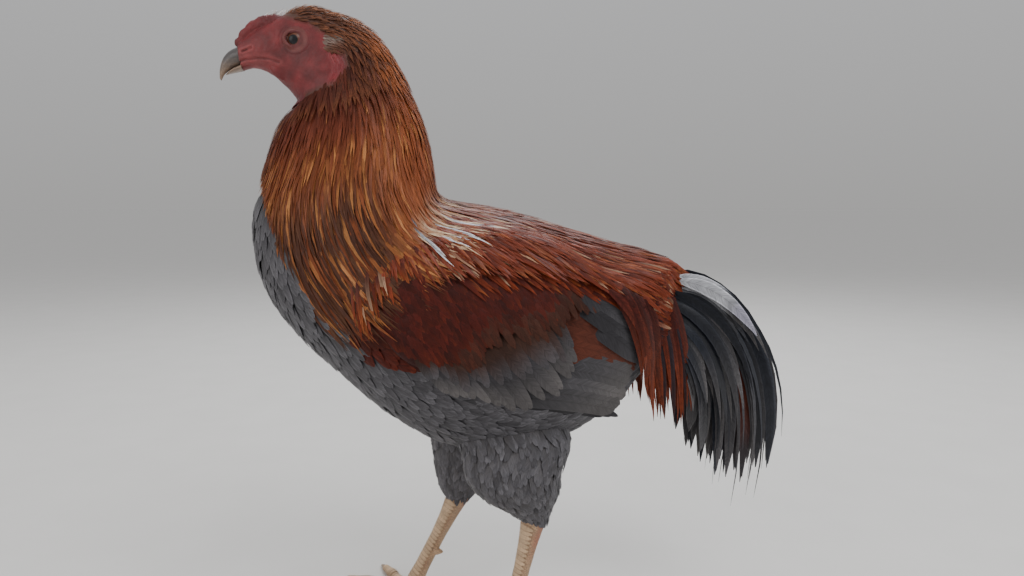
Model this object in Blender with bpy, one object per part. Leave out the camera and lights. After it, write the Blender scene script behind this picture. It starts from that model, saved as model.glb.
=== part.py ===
"""A standing Twente cockerel at life size, as a still museum model.

The bird heads towards -X, its left side is -Y and it stands on Z = 0. Sizes are in millimetres
until mesh_object turns them into metres. One smooth body surface, made of slices that fan round
from the tail root over the breast and up the neck to the beak, carries every other sub-part.
"""

import math
import random

import bmesh
import bpy
import numpy as np

MM = 0.001
GAP = 0.3

# Height of the floor in the tables below
FLOOR = -20.0
LEFT = -1
RIGHT = 1
SIDE_NAMES = {LEFT: "left", RIGHT: "right"}

# Body slices from the tail root to the beak: back x, z, underside x, z and half the width
BODY = np.array([
    (110.0, 257.0, 98.0, 186.0, 20.0),
    (88.0, 264.5, 73.0, 154.0, 36.0),
    (57.0, 272.5, 40.0, 132.0, 53.0),
    (26.0, 282.0, 6.0, 121.0, 65.0),
    (-4.0, 291.0, -30.0, 118.0, 72.0),
    (-34.0, 297.5, -66.0, 126.0, 75.0),
    (-55.0, 301.5, -103.0, 149.0, 76.0),
    (-65.0, 306.0, -139.0, 182.0, 75.0),
    (-67.0, 315.0, -170.0, 214.0, 69.0),
    (-68.0, 325.0, -189.0, 248.0, 61.0),
    (-69.5, 336.0, -194.0, 285.0, 53.0),
    (-72.0, 348.0, -186.5, 318.0, 46.0),
    (-78.0, 366.0, -178.0, 346.0, 39.0),
    (-88.0, 388.0, -170.5, 361.0, 32.0),
    (-101.5, 411.0, -162.5, 370.5, 27.0),
    (-117.5, 425.5, -164.8, 376.3, 24.0),
    (-135.0, 431.5, -169.2, 381.0, 20.5),
    (-151.0, 435.0, -173.4, 385.0, 17.4),
    (-164.5, 431.5, -177.6, 388.6, 15.2),
    (-177.0, 424.0, -184.0, 392.0, 13.0),
    (-189.0, 417.5, -191.0, 393.2, 10.5),
    (-200.5, 407.8, -198.0, 391.4, 7.3),
])
BODY_SQUARENESS = 2.15
BODY_SIDES = 20
TORSO_STATIONS = np.linspace(0.0, 6.5, 12)
HEAD_SIDES = 20
BREAST_BASE = TORSO_STATIONS[-1]
BREAST_BASE_GAP = 0.02
NECK_BASE = 9.6
NECK_BASE_GAP = 0.04
NECK_TOP = 14.3
NECK_TOP_GAP = 0.07
FACE_END = 21.0

# Depth of the feathers that lie over the body: the cape of hackle down to its hem, and the saddle
CAPE_DEPTH = 4.0
CAPE_HEM_BACK = 4.9
CAPE_HEM_FRONT = 7.9
SADDLE_DEPTH = 2.4
SADDLE_END = 5.0

# A feather's thickness, and its half width along its length
VANE_THICKNESS = 0.7
HACKLE_SHAPE = (0.4, 0.6, 0.9, 1.0, 0.2)
SADDLE_SHAPE = (0.45, 0.85, 1.0, 0.2)
PLUME_SHAPE = (0.5, 0.8, 1.0, 1.0, 0.85, 0.2)
BLADE_SHAPE = (0.6, 0.95, 1.0, 0.5)
SEED = 7

# Rows of hackle down the neck: slice, feathers in the row, length and half width
HACKLE_ROWS = (
    (14.1, 7, 40.0, 4.8),
    (13.1, 9, 56.0, 5.4),
    (12.1, 11, 72.0, 5.8),
    (11.1, 14, 90.0, 6.2),
    (10.2, 18, 102.0, 6.6),
)

# Share of a row's length that its feathers have from the back round to the front of the neck
HACKLE_REACH = (0.76, 1.2, 1.1, 0.95)
HACKLE_BACK_CUT = 0.2
HACKLE_STEPS = (0.0, 0.1, 0.4, 0.7, 1.0)
HACKLE_LIFTS = (-6.6, -2.3, -0.9, 0.0, 1.0)
SHORT_HACKLE = 80.0

# Rows of saddle feathers: slice, feathers each side, first and last turn from the back, length
SADDLE_ROWS = (
    (4.6, 4, 7.0, 64.0, 46.0),
    (3.5, 4, 14.0, 60.0, 50.0),
    (2.4, 4, 7.0, 44.0, 48.0),
    (1.4, 3, 12.0, 40.0, 34.0),
)
SADDLE_STEPS = (0.0, 0.3, 0.65, 1.0)
SADDLE_LIFTS = (-4.8, -1.2, 0.3, 1.2)
SADDLE_HALF_WIDTH = 6.2
SADDLE_FALL = 40.0

# Saddle feathers that hang beside the tail: roots and tips from front to rear, x and z
CURTAIN_COUNT = 6
CURTAIN_ROOTS = ((46.0, 250.0), (100.0, 234.0))
CURTAIN_TIPS = ((78.0, 162.0), (90.0, 142.0), (106.0, 146.0), (122.0, 142.0))
CURTAIN_HALF_WIDTH = 5.4
CURTAIN_STEPS = (0.0, 0.14, 0.4, 0.7, 1.0)
CURTAIN_SHAPE = (0.5, 0.8, 1.0, 0.95, 0.2)
CURTAIN_ASIDE = 36.0
CURTAIN_CLEARANCE = 2.2

# Beak slices from the face to the tip, written as the body's are
UPPER_BEAK = np.array([
    (-200.9, 407.2, -198.7, 395.9, 7.0),
    (-206.4, 404.2, -203.8, 393.6, 5.5),
    (-210.8, 399.2, -207.4, 391.4, 3.9),
    (-213.2, 392.0, -210.4, 388.6, 2.2),
    (-213.6, 385.8, -212.4, 384.4, 0.6),
])
LOWER_BEAK = np.array([
    (-198.9, 395.4, -198.4, 391.3, 6.3),
    (-203.4, 393.1, -203.5, 389.9, 4.7),
    (-206.9, 390.8, -207.4, 388.8, 2.7),
    (-209.0, 388.9, -209.1, 388.2, 1.1),
])
BEAK_SQUARENESS = 2.0
BEAK_SIDES = 12

# Face: eye, lids, nostril, mouth line, ear lobe, wattle and the low comb
EYE = (-160.0, 12.4, 410.0)
EYE_RADIUS = 7.0
LID_HALF_SIZES = (7.3, 6.4)
LID_TUBE = 1.5
LID_OUT = 18.1
NOSTRIL = (-194.0, 8.2, 403.8)
NOSTRIL_HALF_SIZES = (3.3, 1.8, 1.1)
MOUTH_LINE = ((-201.0, 395.6), (-194.0, 397.4), (-186.0, 398.2), (-178.0, 397.7), (-171.5, 395.4))
MOUTH_DEPTH = 0.8
EAR_LOBE = (-130.0, 22.5, 389.0)
EAR_LOBE_HALF_SIZES = (5.8, 3.6, 12.0)
EAR_LOBE_PITCH = -14.0
WATTLE = (-173.0, 8.5, 389.2)
WATTLE_HALF_SIZES = (7.0, 2.8, 3.4)
WATTLE_PITCH = 42.0
COMB_PATH = ((-197.0, 411.6), (-191.5, 418.0), (-184.5, 422.2), (-176.5, 424.4), (-169.5, 426.0))
COMB_RADII = (4.4, 5.4, 6.2, 5.8, 4.2)
COMB_SHAPE = (1.35, 1.1, 0.9)
COMB_PITCH = -25.0

# Wing plate seen from the side, with x, z from the shoulder to its rear end
WING_TOP = ((-106.0, 236.0), (-90.0, 254.0), (-45.0, 262.0), (5.0, 254.0), (46.0, 232.0))
WING_LOW = ((-106.0, 222.0), (-90.0, 198.0), (-45.0, 178.0), (5.0, 166.0), (46.0, 168.0))
WING_REACH = 0.7
WING_SEAT = 1.2
WING_DEPTH = 6.5
WING_RIM = 1.6
WING_ROWS = 4
WING_COLUMNS = 9
WING_COVER = 13.5
WING_END = 101.0
WING_FRONT_SHARE = 0.55

# How far that room reaches past the plate: ahead, above and below at its front and rear end, its
# fade at the edge with the part gained before it, and where along the body it rises to the full
COVER_AHEAD = 8.0
COVER_ABOVE = 14.0
COVER_BELOW = (12.0, 52.0)
COVER_FADE = 14.0
COVER_START = 0.9
COVER_RISE = (-96.0, -36.0)

# Wing feathers: count, first and last root, first and last tip, half width, lift, shingle in degrees
# and what each adds to the lift
WING_TIERS = {
    "primary": (4, ((-20.0, 174.0), (16.0, 178.0)), ((40.0, 142.0), (84.0, 138.0)), 5.5, -0.4, 0.0, 1.1),
    "secondary": (6, ((-40.0, 194.0), (30.0, 198.0)), ((0.0, 158.0), (82.0, 168.0)), 9.5, 4.4, 9.0, 0.0),
    "tertial": (3, ((-6.0, 232.0), (36.0, 232.0)), ((50.0, 200.0), (84.0, 204.0)), 9.5, 6.4, 9.0, 0.0),
    "covert": (6, ((-76.0, 208.0), (4.0, 206.0)), ((-58.0, 176.0), (26.0, 176.0)), 8.0, 8.0, 6.0, 0.0),
    "shoulder": (6, ((-72.0, 236.0), (8.0, 234.0)), ((-56.0, 206.0), (26.0, 204.0)), 8.0, 9.6, 6.0, 0.0),
}

# Tail slices of its core from the root, written as the body's are
TAIL = np.array([
    (114.0, 254.0, 103.0, 188.0, 17.5),
    (126.0, 248.0, 111.0, 194.0, 15.0),
    (141.0, 239.0, 121.0, 202.0, 10.0),
    (150.0, 229.0, 132.0, 210.0, 3.0),
])
TAIL_SIDES = 16

# Tail plumes each side: root, two guiding points and tip of the outermost and the innermost
PLUME_COUNT = 10
PLUME_OUTER = ((114.0, 247.0), (158.0, 246.0), (212.0, 188.0), (199.0, 98.0))
PLUME_INNER = ((110.0, 200.0), (124.0, 190.0), (130.0, 160.0), (124.0, 126.0))
PLUME_DROP = 26.0
PLUME_HALF_WIDTH = 8.5
PLUME_SPACING = 1.6
PLUME_SPREAD = 1.5

# Thigh slices from the body to the hock: centre x, y, z, half length and half thickness
THIGHS = {
    LEFT: ((-20.0, -27.0, 150.0, 42.0, 20.0), (-12.0, -33.0, 126.0, 41.0, 24.0),
           (-14.0, -37.0, 107.0, 35.5, 24.0), (-10.0, -37.0, 92.0, 29.5, 20.0),
           (-4.5, -36.0, 82.0, 20.5, 14.5), (1.5, -35.5, 73.0, 10.5, 9.5)),
    RIGHT: ((-32.0, 27.0, 148.0, 42.0, 20.0), (-33.0, 33.0, 120.0, 39.0, 24.0),
            (-36.0, 37.0, 100.0, 33.5, 23.0), (-40.0, 37.0, 84.0, 27.5, 19.0),
            (-45.0, 36.0, 73.0, 19.5, 14.0), (-48.5, 35.5, 64.5, 10.5, 9.0)),
}
THIGH_SIDES = 16

# Shank from the hock to the foot, with its radii, and the spur on its inner side
FEET = {LEFT: (-17.5, -38.0), RIGHT: (-85.0, 37.0)}
FOOT_TURNS = {LEFT: 0.0, RIGHT: 24.0}
ANKLE_HEIGHT = 13.0
SHANK_STEPS = (0.0, 0.05, 0.12, 0.21, 0.31, 0.5, 0.85, 1.0)
SHANK_RADII = (9.0, 8.8, 8.0, 7.3, 6.6, 5.7, 5.8, 6.6)
SHANK_SIDES = 10
SPUR_STEP = 0.66
SPUR_LENGTH = 8.0
SPUR_RADIUS = 3.4

# Toes: heading from straight ahead outwards in degrees, length, root radius
TOES = {
    "inner": (-32.0, 42.0, 4.7),
    "middle": (4.0, 56.0, 5.2),
    "outer": (42.0, 46.0, 4.7),
    "rear": (-158.0, 24.0, 4.2),
}
TOE_STEPS = (0.0, 0.25, 0.5, 0.65, 0.82, 1.0)
TOE_SWELL = (1.2, 1.05, 0.8, 0.92, 0.74, 0.6)
TOE_SIDES = 8
CLAW_LENGTH = 11.0
CLAW_RADIUS = 2.3
CLAW_SIDES = 6

# Layer of each plume, counted outwards from the middle, so that none cross
PLUME_ORDER = (0, 2, 4, 1, 6, 8, 3, 5, 9, 7)

# Colours
RUST = (0.34, 0.075, 0.025)
GOLD = (0.55, 0.20, 0.05)
SLATE = (0.16, 0.17, 0.20)
BLACK = (0.02, 0.02, 0.028)
FACE_RED = (0.50, 0.06, 0.05)
HORN = (0.20, 0.18, 0.15)
SKIN_YELLOW = (0.72, 0.48, 0.24)
IRIS = (0.30, 0.10, 0.03)

SCATTER = random.Random(SEED)


def smooth_columns(table, station):
    """Read every column of a table of stations at a fractional station, by a Catmull-Rom curve."""
    table = np.asarray(table, dtype=float)
    last = len(table) - 1
    station = np.clip(np.asarray(station, dtype=float), 0.0, last)
    index = np.minimum(station.astype(int), last - 1)
    part = (station - index)[..., None]
    before = table[np.maximum(index - 1, 0)]
    start = table[index]
    end = table[index + 1]
    after = table[np.minimum(index + 2, last)]
    return start + 0.5 * part * (
        (end - before)
        + part * (2.0 * before - 5.0 * start + 4.0 * end - after)
        + part * part * (3.0 * (start - end) + after - before)
    )


def slice_point(table, station, turn, inset=0.0, squareness=BODY_SQUARENESS):
    """Point on a sliced shape, turned from the back line towards the left and moved inwards."""
    back_x, back_z, front_x, front_z, half_width = np.moveaxis(smooth_columns(table, station), -1, 0)
    power = 2.0 / squareness
    along = np.sign(np.cos(turn)) * np.abs(np.cos(turn)) ** power
    across = np.sign(np.sin(turn)) * np.abs(np.sin(turn)) ** power
    half_height = np.hypot(back_x - front_x, back_z - front_z) / 2.0
    share = (half_height - inset) / half_height
    x = (back_x + front_x) / 2.0 + (back_x - front_x) / 2.0 * share * along
    z = (back_z + front_z) / 2.0 + (back_z - front_z) / 2.0 * share * along
    y = -(half_width - inset) * across
    return np.stack([x, y, z], axis=-1)


def slice_ring(table, station, sides, inset=0.0, squareness=BODY_SQUARENESS):
    """One closed slice as an array of points."""
    turns = np.arange(sides) * 2.0 * math.pi / sides
    return slice_point(table, np.full(sides, station), turns, inset, squareness)


def half_width_at(x, z, low, high, most=0.999):
    """Half width of the body at a place seen from the side, searched between two slices.

    A place further than the share called most from a slice's middle line gets the width there.
    """
    for _ in range(30):
        middle = (low + high) / 2.0
        back_x, back_z, front_x, front_z, _ = smooth_columns(BODY, middle)
        ahead = (front_x - back_x) * (z - back_z) - (front_z - back_z) * (x - back_x)
        if ahead > 0.0:
            high = middle
        else:
            low = middle
    back_x, back_z, front_x, front_z, half_width = smooth_columns(BODY, low)
    span = np.array([back_x - front_x, back_z - front_z])
    place = np.array([x - (back_x + front_x) / 2.0, z - (back_z + front_z) / 2.0])
    along = min(abs(float(place @ span / (span @ span) * 2.0)), most)
    return half_width * (1.0 - along ** BODY_SQUARENESS) ** (1.0 / BODY_SQUARENESS)


def edge_point(points, share):
    """Point on a smooth open edge at a share of its length in steps."""
    return smooth_columns(points, share * (len(points) - 1))


def mesh_object(name, points, faces):
    """Make a closed object, standing on the floor, from points in millimetres and its faces."""
    mesh = bpy.data.meshes.new(name)
    mesh.from_pydata([(x * MM, y * MM, (z - FLOOR) * MM) for x, y, z in points], [], faces)
    shape = bmesh.new()
    shape.from_mesh(mesh)
    bmesh.ops.recalc_face_normals(shape, faces=shape.faces)
    bmesh.ops.triangulate(shape, faces=shape.faces)
    shape.to_mesh(mesh)
    shape.free()
    item = bpy.data.objects.new(name, mesh)
    bpy.context.scene.collection.objects.link(item)
    return item


def loft(name, rings):
    """Closed solid through rings of equal count, with a flat cap at each end."""
    sides = len(rings[0])
    points = [point for ring in rings for point in ring]
    faces = [tuple(range(sides))]
    for row in range(len(rings) - 1):
        first = row * sides
        second = first + sides
        for side in range(sides):
            following = (side + 1) % sides
            faces.append((first + side, first + following, second + following, second + side))
    last = (len(rings) - 1) * sides
    faces.append(tuple(range(last, last + sides)))
    return mesh_object(name, points, faces)


def oval_ring(centre, first_axis, second_axis, sides):
    """Ring of points round a centre, spanned by two half axes."""
    turns = np.arange(sides) * 2.0 * math.pi / sides
    return (np.asarray(centre)
            + np.cos(turns)[:, None] * np.asarray(first_axis)
            + np.sin(turns)[:, None] * np.asarray(second_axis))


def tube(name, path, radii, sides):
    """Round limb along a path, with a radius at each point."""
    path = np.asarray(path, dtype=float)
    rings = []
    for index, centre in enumerate(path):
        ahead = path[min(index + 1, len(path) - 1)] - path[max(index - 1, 0)]
        ahead /= np.linalg.norm(ahead)
        sideways = np.cross(ahead, (0.0, 0.0, 1.0))
        sideways /= np.linalg.norm(sideways)
        upward = np.cross(ahead, sideways)
        rings.append(oval_ring(centre, sideways * radii[index], upward * radii[index], sides))
    return loft(name, rings)


def ball(name, centre, half_sizes, sides=16, rows=10, pitch=0.0):
    """Closed ball or egg at a centre, tipped by pitch degrees round the Y axis."""
    shape = bmesh.new()
    bmesh.ops.create_uvsphere(shape, u_segments=sides, v_segments=rows, radius=1.0)
    cosine = math.cos(math.radians(pitch))
    sine = math.sin(math.radians(pitch))
    points = []
    for vertex in shape.verts:
        x = vertex.co.x * half_sizes[0]
        y = vertex.co.y * half_sizes[1]
        z = vertex.co.z * half_sizes[2]
        points.append((centre[0] + x * cosine + z * sine, centre[1] + y, centre[2] + z * cosine - x * sine))
    faces = [[vertex.index for vertex in face.verts] for face in shape.faces]
    shape.free()
    return mesh_object(name, points, faces)


def combine(item, operation, helpers, solver="EXACT"):
    """Apply one Boolean of an object with a collection of helpers, which are then removed."""
    group = bpy.data.collections.new(item.name + "_helpers")
    bpy.context.scene.collection.children.link(group)
    for helper in helpers:
        bpy.context.scene.collection.objects.unlink(helper)
        group.objects.link(helper)
    step = item.modifiers.new(operation, "BOOLEAN")
    step.operation = operation
    step.operand_type = "COLLECTION"
    step.collection = group
    step.solver = solver
    bpy.context.view_layer.update()
    result = bpy.data.meshes.new_from_object(item.evaluated_get(bpy.context.evaluated_depsgraph_get()))
    item.modifiers.clear()
    item.data = result
    for helper in helpers:
        bpy.data.objects.remove(helper)
    bpy.data.collections.remove(group)
    keep_largest(item)
    return item


def connected_groups(shape):
    """Split a bmesh into sets of connected vertices."""
    left = set(shape.verts)
    groups = []
    while left:
        open_ends = [left.pop()]
        group = set(open_ends)
        while open_ends:
            for edge in open_ends.pop().link_edges:
                for vertex in edge.verts:
                    if vertex in left:
                        left.discard(vertex)
                        group.add(vertex)
                        open_ends.append(vertex)
        groups.append(group)
    return groups


def group_volume(group):
    """Signed volume inside the faces of one set of vertices."""
    total = 0.0
    for face in {face for vertex in group for face in vertex.link_faces}:
        corners = [vertex.co for vertex in face.verts]
        for index in range(1, len(corners) - 1):
            total += corners[0].dot(corners[index].cross(corners[index + 1])) / 6.0
    return total


def keep_largest(item):
    """Keep only the closed surface that holds the most volume."""
    shape = bmesh.new()
    shape.from_mesh(item.data)
    groups = sorted(connected_groups(shape), key=group_volume)
    for group in groups[:-1]:
        bmesh.ops.delete(shape, geom=list(group), context="VERTS")
    bmesh.ops.triangulate(shape, faces=shape.faces)
    shape.to_mesh(item.data)
    shape.free()


def paint(item, colour, roughness=0.8):
    """Give an object its own material and smooth shading."""
    material = bpy.data.materials.new(item.name)
    material.use_nodes = True
    shader = material.node_tree.nodes["Principled BSDF"]
    shader.inputs["Base Color"].default_value = (*colour, 1.0)
    shader.inputs["Roughness"].default_value = roughness
    shader.inputs["Metallic"].default_value = 0.0
    item.data.materials.clear()
    item.data.materials.append(material)
    item.data.shade_smooth()
    item.data.set_sharp_from_angle(angle=math.radians(40.0))
    return item


def mirrored(point, side):
    """A point given for the right, moved to the asked side."""
    return (point[0], point[1] * side, point[2])


def eased(value):
    """Smooth step from 0 to 1."""
    value = np.clip(value, 0.0, 1.0)
    return value * value * (3.0 - 2.0 * value)


def coat_depth(station, turn):
    """Depth of the feathers over the core, at a slice and a turn."""
    hem = CAPE_HEM_BACK + (CAPE_HEM_FRONT - CAPE_HEM_BACK) * (1.0 - np.cos(turn)) / 2.0
    cape = CAPE_DEPTH * eased((station - hem) / 0.5 + 0.5)
    top = eased(1.2 + 1.6 * np.cos(turn))
    saddle = SADDLE_DEPTH * top * eased((SADDLE_END - station) / 0.8) * eased(station / 0.8)
    return np.maximum(cape, saddle)


def core_ring(station, sides):
    """One slice of the body's core, below the feathers."""
    turns = np.arange(sides) * 2.0 * math.pi / sides
    return slice_point(BODY, np.full(sides, station), turns, coat_depth(station, turns))


def vane(name, centres, sideways, outwards, half_widths):
    """One feather: a thin closed blade, split into triangles alike on both faces."""
    points = []
    for centre, side, out, half_width in zip(centres, sideways, outwards, half_widths):
        for across, height in ((-1, 1), (1, 1), (1, -1), (-1, -1)):
            points.append(centre + side * half_width * across + out * VANE_THICKNESS / 2.0 * height)
    faces = [(0, 2, 1), (0, 3, 2)]
    for row in range(len(centres) - 1):
        first = row * 4
        second = first + 4
        faces.append((first, first + 1, second + 1))
        faces.append((first, second + 1, second))
        faces.append((first + 3, second + 2, first + 2))
        faces.append((first + 3, second + 3, second + 2))
        faces.append((first + 1, first + 2, second + 2))
        faces.append((first + 1, second + 2, second + 1))
        faces.append((first + 3, first, second))
        faces.append((first + 3, second, second + 3))
    last = 4 * (len(centres) - 1)
    faces.append((last, last + 1, last + 2))
    faces.append((last, last + 2, last + 3))
    return mesh_object(name, points, faces)


def unit(vector):
    """Vector of length one."""
    return vector / np.linalg.norm(vector)


def blade(name, centres, outwards, half_width, shape, shingle=0.0):
    """Feather along a path, facing outwards, its widths by shape, tilted by shingle degrees."""
    centres = np.asarray(centres)
    sideways = []
    facing = []
    for index, out in enumerate(outwards):
        ahead = unit(centres[min(index + 1, len(centres) - 1)] - centres[max(index - 1, 0)])
        side = unit(np.cross(out, ahead))
        out = unit(np.cross(ahead, side))
        tilt = math.radians(shingle)
        sideways.append(side * math.cos(tilt) + out * math.sin(tilt))
        facing.append(out * math.cos(tilt) - side * math.sin(tilt))
    return vane(name, centres, sideways, facing, [half_width * share for share in shape])


def body_frame(station, turn):
    """Body point with its steps towards the tail and round the body, and its outward direction."""
    step = 0.02
    here = slice_point(BODY, station, turn)
    tailwards = (slice_point(BODY, station - step, turn) - slice_point(BODY, station + step, turn)) / (2.0 * step)
    around = (slice_point(BODY, station, turn + step) - slice_point(BODY, station, turn - step)) / (2.0 * step)
    out = unit(np.cross(tailwards, around))
    middle = (slice_point(BODY, station, 0.0) + slice_point(BODY, station, math.pi)) / 2.0
    if np.dot(out, here - middle) < 0.0:
        out = -out
    return here, tailwards, around, out


def flow(station, turn, length, heading, steps, lifts):
    """Path of a feather over the body: at each step of its length, a point lifted off the outline."""
    centres = []
    outwards = []
    gone = 0.0
    for step, lift in zip(steps, lifts):
        for _ in range(4):
            reach = (step - gone) * length / 4.0
            _, tailwards, around, _ = body_frame(station, turn)
            station = max(station - reach * math.cos(heading) / max(np.linalg.norm(tailwards), 6.0), 0.06)
            turn += reach * math.sin(heading) / np.linalg.norm(around)
        gone = step
        here, _, _, out = body_frame(station, turn)
        centres.append(here + out * (lift + wing_cover(here)))
        outwards.append(out)
    return centres, outwards


def curve_point(controls, share):
    """Point of a cubic curve through four guiding points."""
    rest = 1.0 - share
    weights = (rest ** 3, 3.0 * rest * rest * share, 3.0 * rest * share * share, share ** 3)
    return sum(weight * np.asarray(point) for weight, point in zip(weights, controls))


def wing_share(x):
    """How far back along the wing plate a place lies, from 0 to 1."""
    shares = np.linspace(0.0, 1.0, 41)
    return float(np.interp(x, [edge_point(WING_TOP, share)[0] for share in shares], shares))


def wing_cover(point):
    """Room that a feather passing over the wing must keep above the body there."""
    x, _, z = point
    share = wing_share(x)
    top = edge_point(WING_TOP, share)[1]
    low = edge_point(WING_LOW, share)[1]
    front = WING_TOP[0][0]
    below = COVER_BELOW[0] + (COVER_BELOW[1] - COVER_BELOW[0]) * share
    inside = min(x - front + COVER_AHEAD, top + COVER_ABOVE - z, z - low + below, WING_END - x)
    first, last = COVER_RISE
    rise = WING_FRONT_SHARE + (1.0 - WING_FRONT_SHARE) * float(eased((x - first) / (last - first)))
    return WING_COVER * rise * float(eased(inside / COVER_FADE + COVER_START))


def make_torso():
    """Body from the tail root to the breast, with the saddle feathers."""
    torso = loft("torso", [core_ring(station, BODY_SIDES) for station in TORSO_STATIONS])
    added = []
    for row, (station, count, first_turn, last_turn, length) in enumerate(SADDLE_ROWS):
        for index in range(count):
            turn = math.radians(first_turn + (last_turn - first_turn) * index / (count - 1))
            for side in SIDE_NAMES:
                heading = -side * math.radians(SADDLE_FALL) * math.sin(turn)
                centres, outwards = flow(station, -side * turn, length, heading, SADDLE_STEPS, SADDLE_LIFTS)
                name = f"saddle_{row}_{index}_{side}"
                added.append(blade(name, centres, outwards, SADDLE_HALF_WIDTH, SADDLE_SHAPE, -side * 5.0))
    for index in range(CURTAIN_COUNT):
        for side in SIDE_NAMES:
            added.append(make_curtain_feather(index, side))
    combine(torso, "UNION", added, "MANIFOLD")
    return paint(torso, RUST)


def make_curtain_feather(index, side):
    """Long saddle feather that falls over the rear of the wing and beside the tail root."""
    place = index / (CURTAIN_COUNT - 1)
    root = np.array(CURTAIN_ROOTS[0]) + (np.array(CURTAIN_ROOTS[1]) - CURTAIN_ROOTS[0]) * place
    tip = edge_point(CURTAIN_TIPS, place)
    over = root + (tip - root) * 0.25 + np.array((16.0, 6.0))
    hang = tip + (root - tip) * 0.3 + np.array((8.0, 0.0))
    centres = []
    for step in CURTAIN_STEPS:
        x, z = curve_point((root, over, hang, tip), step)
        body = half_width_at(x, z, 0.0, 6.0, 0.95)
        over_wing = body + wing_cover((x, 0.0, z)) + CURTAIN_CLEARANCE
        out = max(over_wing, CURTAIN_ASIDE - 0.12 * (x - 90.0)) + 1.1 * (index % 2)
        centres.append(np.array((x, side * (out if step > 0.0 else body - 5.0), z)))
    outwards = [np.array((0.0, side * 1.0, 0.35 * (1.0 - step))) for step in CURTAIN_STEPS]
    return blade(f"curtain_{index}_{side}", centres, outwards, CURTAIN_HALF_WIDTH, CURTAIN_SHAPE)


def make_breast():
    """Breast from the body to the base of the neck, thinner where the cape lies over it."""
    stations = np.linspace(BREAST_BASE + BREAST_BASE_GAP, NECK_BASE, 7)
    return paint(loft("breast", [core_ring(station, BODY_SIDES) for station in stations]), SLATE)


def hackle_root(station, turn):
    """Slice where a hackle feather is rooted: higher at the back, lower beside the ear lobes."""
    rise = 0.8 * ((1.0 + math.cos(turn)) / 2.0) ** 2 * (NECK_TOP - station) / (NECK_TOP - NECK_BASE)
    beside = abs(math.sin(turn)) ** 4
    return min(station, 13.25 + 1.2 * (1.0 - beside)) + rise


def make_neck():
    """Neck with rows of hackle that lie over the shoulders as a cape."""
    stations = np.linspace(NECK_TOP - NECK_TOP_GAP, NECK_BASE + NECK_BASE_GAP, 8)
    neck = loft("neck", [core_ring(station, BODY_SIDES) for station in stations])
    combine(neck, "DIFFERENCE", [make_ear_lobe(f"lobe_room_{side}", side, 2.0 * GAP) for side in SIDE_NAMES])
    added = []
    for row, (station, count, length, half_width) in enumerate(HACKLE_ROWS):
        for index in range(count):
            turn = (index + 0.5 * (row % 2)) * 2.0 * math.pi / count
            from_back = 1.0 - abs(1.0 - turn / math.pi)
            share = float(np.interp(from_back, np.linspace(0.0, 1.0, len(HACKLE_REACH)), HACKLE_REACH))
            if length < SHORT_HACKLE:
                share -= HACKLE_BACK_CUT * (1.0 - from_back)
            reach = length * share * (1.0 + 0.06 * SCATTER.uniform(-1.0, 1.0))
            root = hackle_root(station, turn)
            keep = [0, 1, 2, 4] if length < SHORT_HACKLE else [0, 1, 2, 3, 4]
            steps = [HACKLE_STEPS[place] for place in keep]
            lifts = [HACKLE_LIFTS[place] for place in keep]
            shape = [HACKLE_SHAPE[place] for place in keep]
            centres, outwards = flow(root, turn, reach, 0.0, steps, lifts)
            added.append(blade(f"hackle_{row}_{index}", centres, outwards, half_width, shape))
    combine(neck, "UNION", added, "MANIFOLD")
    return paint(neck, GOLD)


def make_ear_lobe(name, side, grown=0.0):
    """Ear lobe behind the cheek, or the room that it needs."""
    half_sizes = [size + grown for size in EAR_LOBE_HALF_SIZES]
    return ball(name, mirrored(EAR_LOBE, side), half_sizes, 10, 8, EAR_LOBE_PITCH)


def make_lid(name, side):
    """Ring of the two lids round one eye."""
    rows = 12
    around = 5
    points = []
    faces = []
    for row in range(rows):
        turn = row * 2.0 * math.pi / rows
        centre_x = EYE[0] + LID_HALF_SIZES[0] * math.cos(turn)
        centre_z = EYE[2] + LID_HALF_SIZES[1] * math.sin(turn)
        centre_y = LID_OUT - 1.1 * math.cos(turn) - 0.6
        for step in range(around):
            angle = step * 2.0 * math.pi / around
            out = LID_TUBE * math.cos(angle)
            points.append((centre_x + out * math.cos(turn), side * (centre_y + LID_TUBE * math.sin(angle)),
                           centre_z + out * math.sin(turn)))
            following = ((row + 1) % rows) * around
            after = (step + 1) % around
            faces.append((row * around + step, row * around + after, following + after, following + step))
    return mesh_object(name, points, faces)


def make_mouth_groove(name, side):
    """Cutter along the line of the mouth behind the beak."""
    path = []
    for x, z in MOUTH_LINE:
        out = half_width_at(max(x, -199.5), z, 16.0, FACE_END)
        path.append((x, side * (out + 0.2), z))
    return tube(name, path, [MOUTH_DEPTH] * len(path), 5)


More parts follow.
